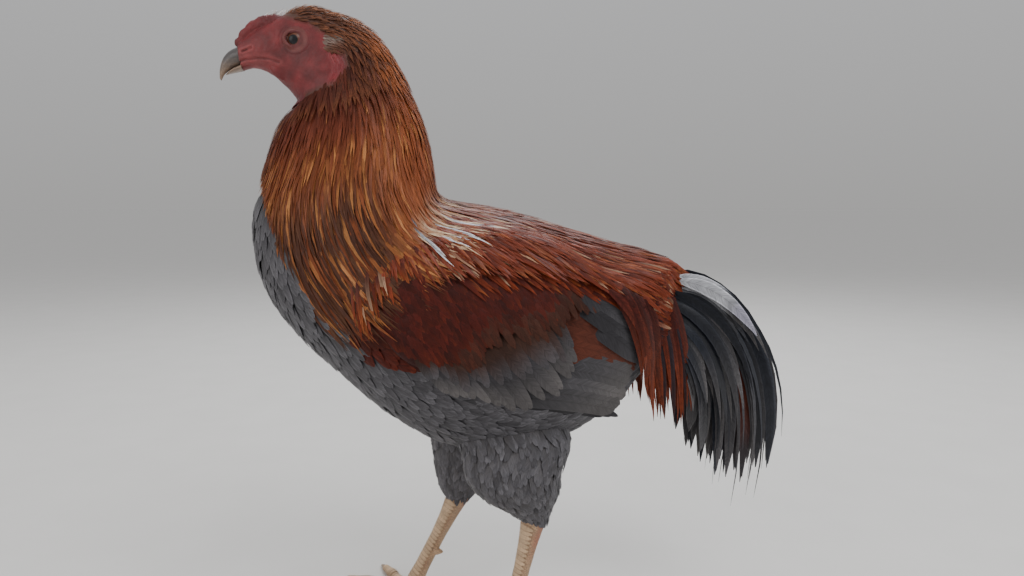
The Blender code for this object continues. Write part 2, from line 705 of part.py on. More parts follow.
def make_head():
    """Head of flesh with its comb, lids, ear lobes and wattles, and cuts for eyes, nostrils and mouth."""
    stations = np.linspace(NECK_TOP, FACE_END, 12)
    head = loft("head", [slice_ring(BODY, station, HEAD_SIDES) for station in stations])
    added = []
    for index, (x, z) in enumerate(COMB_PATH):
        half_sizes = [COMB_RADII[index] * share for share in COMB_SHAPE]
        added.append(ball(f"comb_{index}", (x, 0.0, z), half_sizes, 8, 6, COMB_PITCH))
    for side in SIDE_NAMES:
        added.append(make_lid(f"lid_{side}", side))
        added.append(make_ear_lobe(f"lobe_{side}", side))
        added.append(ball(f"wattle_{side}", mirrored(WATTLE, side), WATTLE_HALF_SIZES, 10, 6, WATTLE_PITCH))
    combine(head, "UNION", added, "MANIFOLD")
    cutters = []
    for side in SIDE_NAMES:
        socket = EYE_RADIUS + GAP
        cutters.append(ball(f"socket_{side}", mirrored(EYE, side), (socket, socket, socket), 12, 8))
        cutters.append(ball(f"nostril_{side}", mirrored(NOSTRIL, side), NOSTRIL_HALF_SIZES, 8, 5, -25.0))
        cutters.append(make_mouth_groove(f"mouth_{side}", side))
    combine(head, "DIFFERENCE", cutters, "MANIFOLD")
    return paint(head, FACE_RED, 0.6)


def make_eye(side):
    """Eyeball in its socket."""
    eye = ball(f"eye_{SIDE_NAMES[side]}", mirrored(EYE, side), (EYE_RADIUS,) * 3, 12, 8)
    return paint(eye, IRIS, 0.1)


def make_beak(name, table):
    """One half of the beak, of horn."""
    stations = np.linspace(0.0, len(table) - 1.0, 2 * len(table) - 1)
    rings = [slice_ring(table, station, BEAK_SIDES, 0.0, BEAK_SQUARENESS) for station in stations]
    return paint(loft(name, rings), HORN, 0.4)


def wing_point(x, z, side, lift):
    """Point above the flank at a place seen from the side."""
    return np.array((x, side * (half_width_at(x, z, 0.0, 11.0, WING_REACH) + WING_SEAT + lift), z))


def wing_outward(x, z, side):
    """Direction straight out of the flank at a place seen from the side."""
    step = 4.0
    along = wing_point(x + step, z, side, 0.0) - wing_point(x - step, z, side, 0.0)
    upward = wing_point(x, z + step, side, 0.0) - wing_point(x, z - step, side, 0.0)
    out = unit(np.cross(along, upward))
    return out * side * np.sign(out[1])


def make_wing_plate(name, side):
    """Smooth plate of the folded wing, which carries its feathers."""
    inner = []
    outer = []
    for column in range(WING_COLUMNS + 1):
        share = column / WING_COLUMNS
        top = edge_point(WING_TOP, share)
        low = edge_point(WING_LOW, share)
        for row in range(WING_ROWS + 1):
            height = row / WING_ROWS
            x, z = low + (top - low) * height
            bulge = math.sin(math.pi * height) ** 0.5 * (1.0 - 0.5 * share) * min(1.0, 0.3 + 3.0 * share)
            inner.append(wing_point(x, z, side, 0.0))
            outer.append(wing_point(x, z, side, WING_RIM + (WING_DEPTH - WING_RIM) * bulge))
    width = WING_ROWS + 1
    count = len(inner)
    faces = []
    for column in range(WING_COLUMNS):
        for row in range(WING_ROWS):
            corner = column * width + row
            patch = (corner, corner + 1, corner + width + 1, corner + width)
            faces.append(patch)
            faces.append(tuple(index + count for index in reversed(patch)))
    rim = list(range(width))
    rim += [column * width + WING_ROWS for column in range(1, WING_COLUMNS + 1)]
    rim += [WING_COLUMNS * width + row for row in range(WING_ROWS - 1, -1, -1)]
    rim += [column * width for column in range(WING_COLUMNS - 1, 0, -1)]
    for index, corner in enumerate(rim):
        following = rim[(index + 1) % len(rim)]
        faces.append((corner, following, following + count, corner + count))
    return mesh_object(name, inner + outer, faces)


def make_wing(side):
    """Folded wing on the flank: its plate with tiers of flight feathers and coverts."""
    wing = make_wing_plate(f"wing_{SIDE_NAMES[side]}", side)
    added = []
    for tier, (count, roots, tips, half_width, first_lift, shingle, stack) in WING_TIERS.items():
        for index in range(count):
            place = index / (count - 1)
            lift = first_lift + stack * index
            root = np.array(roots[0]) + (np.array(roots[1]) - roots[0]) * place
            tip = np.array(tips[0]) + (np.array(tips[1]) - tips[0]) * place
            centres = []
            outwards = []
            for step, rise in zip((0.0, 0.35, 0.75, 1.0), (1.2 - lift, 0.0, 0.0, -0.3)):
                x, z = root + (tip - root) * step
                z += 0.06 * np.linalg.norm(tip - root) * math.sin(math.pi * step)
                centres.append(wing_point(x, z, side, lift + rise))
                outwards.append(wing_outward(x, z, side))
            added.append(blade(f"{tier}_{index}_{side}", centres, outwards, half_width, BLADE_SHAPE, -side * shingle))
    combine(wing, "UNION", added, "MANIFOLD")
    return paint(wing, RUST)


def make_tail():
    """Drooping tail: a short core with the plumes of both sides."""
    stations = np.linspace(0.0, len(TAIL) - 1.0, 6)
    rings = [slice_ring(BODY, 0.0, TAIL_SIDES, 1.0) + np.array((1.5 * GAP, 0.0, 0.0))]
    rings += [slice_ring(TAIL, station, TAIL_SIDES) for station in stations]
    tail = loft("tail", rings)
    added = []
    for index in range(PLUME_COUNT):
        share = index / (PLUME_COUNT - 1)
        controls = [np.array(outer) + (np.array(inner) - outer) * share
                    for outer, inner in zip(PLUME_OUTER, PLUME_INNER)]
        drop = PLUME_DROP * math.sin(math.pi * share) + 7.0 * SCATTER.uniform(-1.0, 1.0)
        controls[3] = controls[3] - np.array((0.0, drop))
        for side in SIDE_NAMES:
            layer = PLUME_SPACING * (PLUME_ORDER[index] + 0.5)
            centres = []
            for step in (0.0, 0.22, 0.44, 0.64, 0.84, 1.0):
                x, z = curve_point(controls, step)
                y = side * layer * (1.0 + (PLUME_SPREAD - 1.0) * math.sin(math.pi * step * 0.75))
                centres.append(np.array((x, y, z)))
            outwards = [np.array((0.0, float(side), 0.0))] * len(centres)
            added.append(blade(f"plume_{index}_{side}", centres, outwards, PLUME_HALF_WIDTH, PLUME_SHAPE))
    combine(tail, "UNION", added, "MANIFOLD")
    return paint(tail, BLACK)


def make_thigh(side):
    """Feathered thigh, cut clear of the body that it grows from."""
    rows = np.array(THIGHS[side])
    rings = []
    for station in np.linspace(0.0, len(rows) - 1.0, 8):
        x, y, z, half_length, half_thickness = smooth_columns(rows, station)
        rings.append(oval_ring((x, y, z), (half_length, 0.0, 0.0), (0.0, half_thickness, 0.0), THIGH_SIDES))
    thigh = loft(f"thigh_{SIDE_NAMES[side]}", rings)
    stations = [*TORSO_STATIONS[1:], *np.linspace(BREAST_BASE, 8.0, 4)[1:]]
    body = loft("body_clearance", [slice_ring(BODY, station, BODY_SIDES, -1.5 * GAP) for station in stations])
    combine(thigh, "DIFFERENCE", [body])
    return paint(thigh, SLATE)


def shank_path(side):
    """Top and foot ends of one shank."""
    hock = np.array(THIGHS[side][-1][:3]) - (0.0, 0.0, GAP)
    foot_x, foot_y = FEET[side]
    return hock, np.array((foot_x, foot_y, FLOOR + ANKLE_HEIGHT))


def make_shank(side):
    """Scaled shank with the hock above and a short spur on its inner side."""
    hock, ankle = shank_path(side)
    axis = ankle - hock
    lean = np.linalg.norm(axis) / abs(axis[2])
    rings = []
    for step, radius in zip(SHANK_STEPS, SHANK_RADII):
        rings.append(oval_ring(hock + axis * step, (radius * lean, 0.0, 0.0), (0.0, radius * 0.9, 0.0), SHANK_SIDES))
    shank = loft(f"shank_{SIDE_NAMES[side]}", rings)
    root = hock + axis * SPUR_STEP
    out = np.array((0.75, -0.6 * side, 0.15))
    path = [root + out * reach for reach in (2.0, 5.0, 5.0 + SPUR_LENGTH * 0.6, 5.0 + SPUR_LENGTH)]
    spur = tube("spur", path, (SPUR_RADIUS, SPUR_RADIUS, SPUR_RADIUS * 0.7, 0.6), 8)
    combine(shank, "UNION", [spur])
    return paint(shank, SKIN_YELLOW, 0.55)


def toe_heading(side, toe):
    """Flat direction of a toe."""
    turn = math.radians(TOES[toe][0] + FOOT_TURNS[side])
    return np.array((-math.cos(turn), side * math.sin(turn), 0.0))


def make_foot(side):
    """Foot with its four toes, flat underneath where it stands on the floor."""
    foot_x, foot_y = FEET[side]
    hock, ankle = shank_path(side)
    axis = (hock - ankle) / abs(hock[2] - ankle[2])
    lean = np.linalg.norm(axis)
    radius = SHANK_RADII[-1]
    pad_rings = []
    for height, spread in ((0.0, 0.95), (2.0, 1.15), (6.0, 1.12), (ANKLE_HEIGHT - GAP, 1.0)):
        centre = ankle + axis * (height - ANKLE_HEIGHT)
        pad_rings.append(oval_ring(centre, (radius * lean * spread, 0.0, 0.0),
                                   (0.0, radius * 0.9 * spread, 0.0), SHANK_SIDES))
    foot = loft(f"foot_{SIDE_NAMES[side]}", pad_rings)
    toes = []
    for toe, (_, length, root_radius) in TOES.items():
        ahead = toe_heading(side, toe)
        sideways = np.array((-ahead[1], ahead[0], 0.0))
        rings = []
        for step, swell in zip(TOE_STEPS, TOE_SWELL):
            thick = root_radius * swell
            centre = pad_rings[0].mean(axis=0) + ahead * length * step + np.array((0.0, 0.0, thick - 0.7))
            ring = oval_ring(centre, sideways * thick, (0.0, 0.0, thick), TOE_SIDES)
            ring[:, 2] = np.maximum(ring[:, 2], FLOOR)
            rings.append(ring)
        toes.append(loft(f"toe_{toe}", rings))
    combine(foot, "UNION", toes)
    return paint(foot, SKIN_YELLOW, 0.55)


def make_claws(side):
    """The claw of each toe, of horn."""
    hock, ankle = shank_path(side)
    axis = (hock - ankle) / abs(hock[2] - ankle[2])
    sole = ankle - axis * ANKLE_HEIGHT
    for toe, (_, length, root_radius) in TOES.items():
        ahead = toe_heading(side, toe)
        start = sole + ahead * (length + GAP) + np.array((0.0, 0.0, root_radius * TOE_SWELL[-1] - 0.4))
        path = []
        for step, drop in ((0.0, 0.0), (0.35, 0.1), (0.7, 0.8), (1.0, 1.8)):
            path.append(start + ahead * CLAW_LENGTH * step - np.array((0.0, 0.0, drop)))
        radii = [CLAW_RADIUS, CLAW_RADIUS * 0.85, CLAW_RADIUS * 0.5, 0.25]
        claw = tube(f"claw_{SIDE_NAMES[side]}_{toe}", path, radii, CLAW_SIDES)
        lowest = min(vertex.co.z for vertex in claw.data.vertices)
        for vertex in claw.data.vertices:
            vertex.co.z += max(0.0, -lowest)
        paint(claw, HORN, 0.4)


def main():
    """Build every sub-part."""
    for item in list(bpy.data.objects):
        bpy.data.objects.remove(item)
    make_torso()
    make_breast()
    make_neck()
    make_head()
    make_beak("beak_upper", UPPER_BEAK)
    make_beak("beak_lower", LOWER_BEAK)
    make_tail()
    for side in SIDE_NAMES:
        make_eye(side)
        make_wing(side)
        make_thigh(side)
        make_shank(side)
        make_foot(side)
        make_claws(side)


main()
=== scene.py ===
"""Looks of a standing Twente cockerel at life size.

The bird heads towards -X, its left side is -Y and it stands on Z = 0, as in the solids. One skin
stands for the flesh, and every feather is a thin closed vane swept along its own path over that
skin by one Geometry Nodes tree. Tables are in millimetres with the floor at Z = -20, and meshes are
in metres with the floor at Z = 0.
"""

import logging
import math
from abc import ABC, abstractmethod
from dataclasses import dataclass, field
from enum import Enum
from functools import partial, reduce
from typing import ClassVar

import bmesh
import bpy
import numpy as np
from mathutils import Matrix, Vector, noise


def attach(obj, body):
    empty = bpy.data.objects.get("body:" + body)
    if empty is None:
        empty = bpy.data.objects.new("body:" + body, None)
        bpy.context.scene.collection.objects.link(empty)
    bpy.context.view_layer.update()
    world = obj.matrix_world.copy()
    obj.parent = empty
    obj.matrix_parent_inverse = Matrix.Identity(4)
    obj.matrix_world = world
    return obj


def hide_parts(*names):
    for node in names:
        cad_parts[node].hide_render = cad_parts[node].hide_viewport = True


Array = np.ndarray
Line = tuple[tuple[float, float], ...]
Rows = tuple[tuple[float, ...], ...]
Triple = tuple[float, float, float]
Mesh = bpy.types.Mesh
Socket = bpy.types.NodeSocket

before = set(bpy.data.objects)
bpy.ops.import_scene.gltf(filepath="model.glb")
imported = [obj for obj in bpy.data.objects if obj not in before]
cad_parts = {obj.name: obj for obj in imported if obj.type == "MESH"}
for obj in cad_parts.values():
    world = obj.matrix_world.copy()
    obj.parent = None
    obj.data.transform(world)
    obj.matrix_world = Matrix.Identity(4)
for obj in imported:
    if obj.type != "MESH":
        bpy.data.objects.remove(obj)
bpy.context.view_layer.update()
MM = 0.001
FLOOR = -20.0
BODY_NAME = "root"
BAKE_PATCH = 0.003
ROUND_ENDS = {"rounded": 0.5, "blunt": 0.8}
SEED = 11
SLOPE_STEP = 0.02
LOCATE_STEPS = 26
MIX_FIRST = 6
MIX_SECOND = 7
MIX_RESULT = 2
NOISE_LOW = 0.3
NOISE_HIGH = 0.7
SPOT_EDGE = 0.03
SPOT_SPAN = 0.94
PATH_SAMPLES = 200
RING_SAMPLES = 48

LOG = logging.getLogger("cockerel")


class Side(Enum):
    """Side of the bird, with the sign of its Y."""

    LEFT = -1
    RIGHT = 1

    @property
    def label(self) -> str:
        """Name of the side as it stands in the names of pieces."""
        return self.name.lower()


class Shade(Enum):
    """Plumage and skin colours, as linear red, green and blue."""

    CRIMSON = (0.215, 0.026, 0.028)
    CRIMSON_PALE = (0.31, 0.066, 0.066)
    CRIMSON_DARK = (0.100, 0.017, 0.018)
    LID = (0.165, 0.046, 0.040)
    LOBE = (0.235, 0.030, 0.034)
    CROWN = (0.125, 0.048, 0.028)
    CROWN_DARK = (0.060, 0.028, 0.021)
    CROWN_ORANGE = (0.34, 0.115, 0.038)
    THROAT = (0.078, 0.018, 0.011)
    RUST = (0.160, 0.032, 0.012)
    ORANGE = (0.29, 0.076, 0.021)
    GOLD = (0.44, 0.175, 0.052)
    PALE_GOLD = (0.74, 0.56, 0.36)
    UMBER = (0.052, 0.022, 0.014)
    MAHOGANY = (0.072, 0.0105, 0.0065)
    MAHOGANY_DARK = (0.038, 0.0075, 0.0055)
    FLAME = (0.24, 0.040, 0.011)
    BAY = (0.095, 0.025, 0.014)
    SLATE = (0.074, 0.071, 0.077)
    SLATE_DARK = (0.035, 0.033, 0.037)
    SLATE_PALE = (0.165, 0.160, 0.174)
    ASH = (0.115, 0.106, 0.104)
    BLACK = (0.010, 0.011, 0.015)
    BLUE_BLACK = (0.018, 0.021, 0.030)
    LILAC = (0.34, 0.33, 0.40)
    # Silver also paints highlights: the shoulder strands and the top of the tail's root.
    SILVER = (0.74, 0.75, 0.79)
    BRISTLE = (0.26, 0.205, 0.175)


def colour(shade: Shade | Array) -> Array:
    """Linear colour of a shade; an array stays as it is."""
    return np.array(shade.value) if isinstance(shade, Shade) else shade


def blend(first: Shade | Array, second: Shade | Array, share: Array | float) -> Array:
    """Mix two colours by a share that may be an array."""
    share = np.asarray(share, dtype=float)[..., None]
    return colour(first) * (1.0 - share) + colour(second) * share


def layered(base: Shade | Array, *layers: tuple[Shade | Array, Array | float]) -> Array:
    """Blend colours over a base one after another, each by its own share."""
    return reduce(lambda under, layer: blend(under, *layer), layers, base)


def ramp(value: Array, start: float, end: float) -> Array:
    """Smooth step of a value from start to end, as 0 to 1."""
    share = np.clip((np.asarray(value, dtype=float) - start) / (end - start), 0.0, 1.0)
    return share * share * (3.0 - 2.0 * share)


def unit(vectors: Array) -> Array:
    """Vectors scaled to length one."""
    length = np.linalg.norm(vectors, axis=-1, keepdims=True)
    return vectors / np.maximum(length, 1e-12)


def ring_turns(sides: int) -> Array:
    """Even angles round a circle."""
    return np.arange(sides) * math.tau / sides


def read_line(line: Line, at: Array) -> Array:
    """Second numbers of a line at given first numbers, held at both ends."""
    return np.interp(at, *zip(*line))


def front_share(turn: Array) -> Array:
    """How far round a form lies, from 0 at the back line to 1 opposite it."""
    return (1.0 - np.cos(turn)) / 2.0


def read_table(table: Array, station: Array) -> Array:
    """Read a table's columns at fractional rows by a Catmull-Rom curve.

    Args:
        table: Sizes, one row a station.
        station: Fractional numbers of rows.

    Returns:
        The columns' sizes at each station.
    """
    table = np.asarray(table, dtype=float)
    last = len(table) - 1
    station = np.clip(np.asarray(station, dtype=float), 0.0, last)
    index = np.minimum(station.astype(int), last - 1)
    part = (station - index)[..., None]
    before = table[np.maximum(index - 1, 0)]
    start = table[index]
    end = table[index + 1]
    after = table[np.minimum(index + 2, last)]
    return start + 0.5 * part * (
        (end - before)
        + part * (2.0 * before - 5.0 * start + 4.0 * end - after)
        + part * part * (3.0 * (start - end) + after - before)
    )


def inside_outline(x: Array, z: Array, outline: Line) -> Array:
    """Whether places seen from the side lie inside a closed outline.

    Args:
        x: Places along the bird in millimetres.
        z: Heights in millimetres.
        outline: Corners of the outline in order.

    Returns:
        An array of truth values.
    """
    within = np.zeros(np.shape(x), dtype=bool)
    for (ax, az), (bx, bz) in zip(outline, outline[1:] + outline[:1]):
        crosses = (az > z) != (bz > z)
        edge_x = ax + (bx - ax) * (z - az) / (bz - az if bz != az else 1e-9)
        within ^= crosses & (x < edge_x)
    return within


def outline_distance(x: Array, z: Array, path: Line) -> Array:
    """Distance from places seen from the side to an open path, in millimetres.

    Args:
        x: Places along the bird in millimetres.
        z: Heights in millimetres.
        path: Corners of the path in order.

    Returns:
        One distance for each place.
    """
    best = np.full(np.shape(x), 1e9)
    for (ax, az), (bx, bz) in zip(path, path[1:]):
        span = (bx - ax) ** 2 + (bz - az) ** 2
        share = np.clip(((x - ax) * (bx - ax) + (z - az) * (bz - az)) / span, 0.0, 1.0)
        best = np.minimum(best, np.hypot(x - ax - share * (bx - ax), z - az - share * (bz - az)))
    return best


def grain(points: Array, scale: float, shift: float = 0.0) -> Array:
    """Smooth noise between -1 and 1 at points, by the size of a swelling and a shift of the pattern."""
    return np.array([noise.noise(Vector(point / scale) + Vector((shift,) * 3)) for point in points])


# Forms that the coat lies on


@dataclass(frozen=True)
class Form(ABC):
    """Smooth form that feathers lie on, with rows of sizes read at fractional stations.

    Attributes:
        rows: Sizes of its slices in order.
        downwards: Sense of the stations from a feather's root to its tip.
    """

    rows: Rows
    downwards: ClassVar[float] = -1.0

    @abstractmethod
    def point(self, station: Array, turn: Array, inset: Array | float = 0.0) -> Array:
        """Points of the surface in millimetres."""

    def columns(self, station: Array) -> list[Array]:
        """The sizes of the slices at fractional stations."""
        return list(np.moveaxis(read_table(np.array(self.rows), station), -1, 0))

    def grid(self, rings: int, sides: int, low: float = 0.0, high: float | None = None) -> list[Array]:
        """Stations and turns of rings round the form, one row a ring."""
        last = len(self.rows) - 1.0 if high is None else high
        return np.meshgrid(np.linspace(low, last, rings), ring_turns(sides), indexing="ij")

    def local(self, station: Array, turn: Array) -> tuple[Array, Array, Array, Array]:
        """Surface point, steps down the form and round it, and outward direction.

        Args:
            station: Fractional numbers of slices along the form.
            turn: Angles round the form, from its back line.

        Returns:
            Places, both steps by one unit of station or turn, and directions of length one.
        """
        step = self.downwards * SLOPE_STEP
        here = self.point(station, turn)
        down = self.point(station + step, turn) - self.point(station - step, turn)
        around = self.point(station, turn + SLOPE_STEP) - self.point(station, turn - SLOPE_STEP)
        out = unit(np.cross(down, around))
        opposite = self.point(station, np.full_like(turn, math.pi))
        middle = (self.point(station, np.zeros_like(turn)) + opposite) / 2.0
        out[np.sum(out * (here - middle), axis=-1) < 0.0] *= -1.0
        return here, down / (2.0 * SLOPE_STEP), around / (2.0 * SLOPE_STEP), out


@dataclass(frozen=True)
class SlicedForm(Form):
    """Smooth shape made of slices, each with back x, z, underside x, z and half the width."""

    squareness: float = 2.15

    def point(self, station: Array, turn: Array, inset: Array | float = 0.0) -> Array:
        """Points of the surface in millimetres.

        Args:
            station: Fractional number of the slice.
            turn: Angle from the back line towards the left.
            inset: How far the points lie inside the surface.

        Returns:
            Places, one for each station and turn.
        """
        back_x, back_z, front_x, front_z, half_width = self.columns(station)
        along, across = (np.sign(way) * np.abs(way) ** (2.0 / self.squareness)
                         for way in (np.cos(turn), np.sin(turn)))
        half_height = np.hypot(back_x - front_x, back_z - front_z) / 2.0
        share = (half_height - inset) / half_height
        x = (back_x + front_x) / 2.0 + (back_x - front_x) / 2.0 * share * along
        z = (back_z + front_z) / 2.0 + (back_z - front_z) / 2.0 * share * along
        return np.stack([x, -(half_width - inset) * across, z], axis=-1)

    def locate(self, x: Array, z: Array, low: float, high: float) -> tuple[Array, Array]:
        """Station of places seen from the side, and how far along the slice they lie, from -1 to 1.

        Args:
            x: Places along the bird in millimetres.
            z: Heights in millimetres.
            low: First station to search.
            high: Last station to search.

        Returns:
            Stations, and shares from -1 at the underside to 1 at the back.
        """
        low = np.full(np.shape(x), low)
        high = np.full(np.shape(x), high)
        for _ in range(LOCATE_STEPS):
            middle = (low + high) / 2.0
            back_x, back_z, front_x, front_z, _ = self.columns(middle)
            ahead = (front_x - back_x) * (z - back_z) - (front_z - back_z) * (x - back_x) > 0.0
            high = np.where(ahead, middle, high)
            low = np.where(ahead, low, middle)
        back_x, back_z, front_x, front_z, _ = self.columns(low)
        span_x = back_x - front_x
        span_z = back_z - front_z
        along = ((x - (back_x + front_x) / 2.0) * span_x + (z - (back_z + front_z) / 2.0) * span_z)
        return low, along / (span_x ** 2 + span_z ** 2) * 2.0

    def half_width(self, x: Array, z: Array, low: float, high: float, most: float = 0.999) -> Array:
        """Half width of the form at places seen from the side.

        Args:
            x: Places along the bird in millimetres.
            z: Heights in millimetres.
            low: First station to search.
            high: Last station to search.
            most: Greatest share along a slice that is read, which keeps some width.

        Returns:
            One half width for each place.
        """
        station, along = self.locate(x, z, low, high)
        width = self.columns(station)[4]
        along = np.minimum(np.abs(along), most)
        return width * (1.0 - along ** self.squareness) ** (1.0 / self.squareness)


BODY = SlicedForm((
    (110.0, 257.0, 98.0, 186.0, 20.0),
    (88.0, 264.5, 73.0, 154.0, 36.0),
    (57.0, 272.5, 40.0, 132.0, 53.0),
    (26.0, 282.0, 6.0, 121.0, 65.0),
    (-4.0, 291.0, -30.0, 118.0, 72.0),
    (-34.0, 297.5, -66.0, 126.0, 75.0),
    (-55.0, 301.5, -103.0, 149.0, 76.0),
    (-65.0, 306.0, -139.0, 182.0, 75.0),
    (-67.0, 315.0, -170.0, 214.0, 69.0),
    (-68.0, 325.0, -189.0, 248.0, 61.0),
    (-69.5, 336.0, -194.0, 285.0, 53.0),
    (-72.0, 348.0, -186.5, 318.0, 46.0),
    (-78.0, 366.0, -178.0, 346.0, 39.0),
    (-88.0, 388.0, -170.5, 361.0, 32.0),
    (-101.5, 411.0, -162.5, 370.5, 27.0),
    (-117.5, 425.5, -164.8, 376.3, 24.0),
    (-135.0, 431.5, -169.2, 381.0, 20.5),
    (-151.0, 435.0, -173.4, 385.0, 17.4),
    (-164.5, 431.5, -177.6, 388.6, 15.2),
    (-177.0, 424.0, -184.0, 392.0, 13.0),
    (-189.0, 417.5, -191.0, 393.2, 10.5),
    (-200.5, 407.8, -198.0, 391.4, 7.3),
))
TAIL_CORE = SlicedForm((
    (108.0, 256.0, 97.0, 186.0, 18.5),
    (114.0, 254.0, 103.0, 188.0, 17.0),
    (126.0, 248.0, 111.0, 194.0, 14.0),
    (141.0, 239.0, 121.0, 202.0, 9.0),
    (150.0, 229.0, 132.0, 210.0, 3.0),
))
UPPER_BEAK = SlicedForm((
    (-200.2, 407.4, -198.0, 395.2, 7.1),
    (-206.4, 404.2, -203.8, 393.2, 5.5),
    (-210.8, 399.2, -207.4, 391.0, 3.9),
    (-213.2, 392.0, -210.4, 388.2, 2.2),
    (-213.6, 385.8, -212.4, 384.4, 0.6),
), 2.0)
LOWER_BEAK = SlicedForm((
    (-198.0, 395.4, -197.6, 391.3, 6.3),
    (-203.4, 393.1, -203.5, 389.9, 4.7),
    (-206.9, 390.8, -207.4, 388.8, 2.7),
    (-209.0, 388.9, -209.1, 388.2, 1.1),
), 2.0)


@dataclass(frozen=True)
class Limb(Form):
    """Upright oval limb: rows of centre x, y, z, half length and half thickness."""

    downwards: ClassVar[float] = 1.0

    def point(self, station: Array, turn: Array, inset: Array | float = 0.0) -> Array:
        """Points of the limb in millimetres, turned from the rear.

        Args:
            station: Fractional numbers of slices along the form.
            turn: Angles round the form, from its back line.
            inset: How far the points lie inside the surface.

        Returns:
            Places, one for each station and turn.
        """
        x, y, z, half_length, half_thickness = self.columns(station)
        across = x + (half_length - inset) * np.cos(turn)
        return np.stack([across, y + (half_thickness - inset) * np.sin(turn), z], axis=-1)


THIGHS = {
    Side.LEFT: Limb((
        (-20.0, -27.0, 152.0, 40.0, 18.0), (-12.0, -33.0, 128.0, 39.0, 22.0),
        (-14.0, -37.0, 108.0, 33.5, 22.5), (-10.0, -37.0, 93.0, 28.0, 18.5),
        (-4.5, -36.0, 83.0, 19.0, 13.5), (1.5, -35.5, 73.0, 9.5, 8.5))),
    Side.RIGHT: Limb((
        (-32.0, 27.0, 150.0, 40.0, 18.0), (-33.0, 33.0, 122.0, 37.0, 22.0),
        (-36.0, 37.0, 101.0, 32.0, 21.5), (-40.0, 37.0, 85.0, 26.0, 17.5),
        (-45.0, 36.0, 74.0, 18.5, 12.5), (-48.5, 35.5, 64.5, 10.0, 8.5))),
}


@dataclass(frozen=True)
class WingForm:
    """Folded wing seen from the side: its upper and lower edge from the shoulder to the rear."""

    top: Line = (
        (-106.0, 236.0), (-90.0, 254.0), (-45.0, 262.0), (5.0, 254.0), (46.0, 232.0))
    low: Line = (
        (-106.0, 222.0), (-90.0, 198.0), (-45.0, 178.0), (5.0, 166.0), (46.0, 168.0))
    reach: float = 0.7
    seat: float = 1.2
    cover_depth: float = 13.0
    cover_front: float = 0.55
    cover_end: float = 88.0
    cover_slope: float = 0.4
    cover_rise: tuple[float, float] = (-96.0, -36.0)
    cover_margin: tuple[float, float] = (-12.6, 1.4)
    top_slope: float = 0.7
    room_before: float = 8.0
    room_above: float = 9.0
    room_below: float = 12.0
    room_behind: float = 40.0

    def surface(self, x: Array, z: Array, side: Side, lift: Array | float) -> Array:
        """Points above the flank, lifted outwards, in millimetres."""
        width = BODY.half_width(x, z, 0.0, 11.0, self.reach) + self.seat + lift
        return np.stack([x, side.value * width, z], axis=-1)

    def outward(self, x: Array, z: Array, side: Side) -> Array:
        """Direction straight out of the flank.

        Args:
            x: Places along the bird in millimetres.
            z: Heights in millimetres.
            side: Side of the bird.

        Returns:
            Directions of length one.
        """
        step = 4.0
        level = partial(self.surface, side=side, lift=0.0)
        along = level(x + step, z) - level(x - step, z)
        upward = level(x, z + step) - level(x, z - step)
        out = unit(np.cross(along, upward))
        return out * (side.value * np.sign(out[..., 1]))[..., None]

    def edges(self, share: Array) -> tuple[Array, Array]:
        """Places of the upper and lower edge at shares of the wing's length."""
        return tuple(read_table(np.array(edge), share * (len(edge) - 1)) for edge in (self.top, self.low))

    def cover(self, points: Array) -> Array:
        """Room that feathers passing over the wing keep above the body.

        Args:
            points: Places in millimetres, one a row.

        Returns:
            One height for each place, in millimetres.
        """
        x = points[..., 0]
        z = points[..., 2]
        share = np.interp(x, [corner[0] for corner in self.top], np.linspace(0.0, 1.0, len(self.top)))
        top, low = (edge[..., 1] for edge in self.edges(share))
        margins = (x - self.top[0][0] + self.room_before, self.top_slope * (top + self.room_above - z),
                   z - low + self.room_below + self.room_behind * share,
                   self.cover_slope * (self.cover_end - x))
        rise = self.cover_front + (1.0 - self.cover_front) * ramp(x, *self.cover_rise)
        return self.cover_depth * rise * ramp(np.minimum.reduce(margins), *self.cover_margin)


WING = WingForm()


# Finishes


class TreeWriter:
    """Short way to write a node tree."""

    def __init__(self, tree: bpy.types.NodeTree) -> None:
        """Start on a tree."""
        self.tree = tree

    def put(self, value: object, socket: Socket) -> None:
        """Link a socket, or set its own number.

        Args:
            value: Socket or number.
            socket: Input to set.
        """
        if isinstance(value, Socket):
            self.tree.links.new(value, socket)
        else:
            socket.default_value = value

    def add(self, kind: str, *values: object, **settings: object) -> bpy.types.Node:
        """New node of a kind.

        Args:
            kind: Type of the node.
            values: Numbers or sockets for its first inputs.
            settings: Values of its properties.

        Returns:
            The node.
        """
        node = self.tree.nodes.new(kind)
        for key, value in settings.items():
            setattr(node, key, value)
        for socket, value in zip(node.inputs, values):
            self.put(value, socket)
        return node

    def fill(self, node: bpy.types.Node, values: dict[str, object]) -> bpy.types.Node:
        """Put numbers or sockets on a node's inputs by name.

        Args:
            node: Node to set.
            values: Sockets or numbers by the names of inputs.

        Returns:
            The same node.
        """
        for name, value in values.items():
            self.put(value, node.inputs[name])
        return node

    def mix(self, share: object, first: object, second: object, kind: str = "MIX") -> Socket:
        """Mix of two colours by a share.

        Args:
            share: Share of the second colour.
            first: First colour.
            second: Second colour.
            kind: Way of blending.

        Returns:
            Socket of the mixed colour.
        """
        node = self.add("ShaderNodeMix", share, data_type="RGBA", blend_type=kind)
        self.put(first, node.inputs[MIX_FIRST])
        self.put(second, node.inputs[MIX_SECOND])
        return node.outputs[MIX_RESULT]


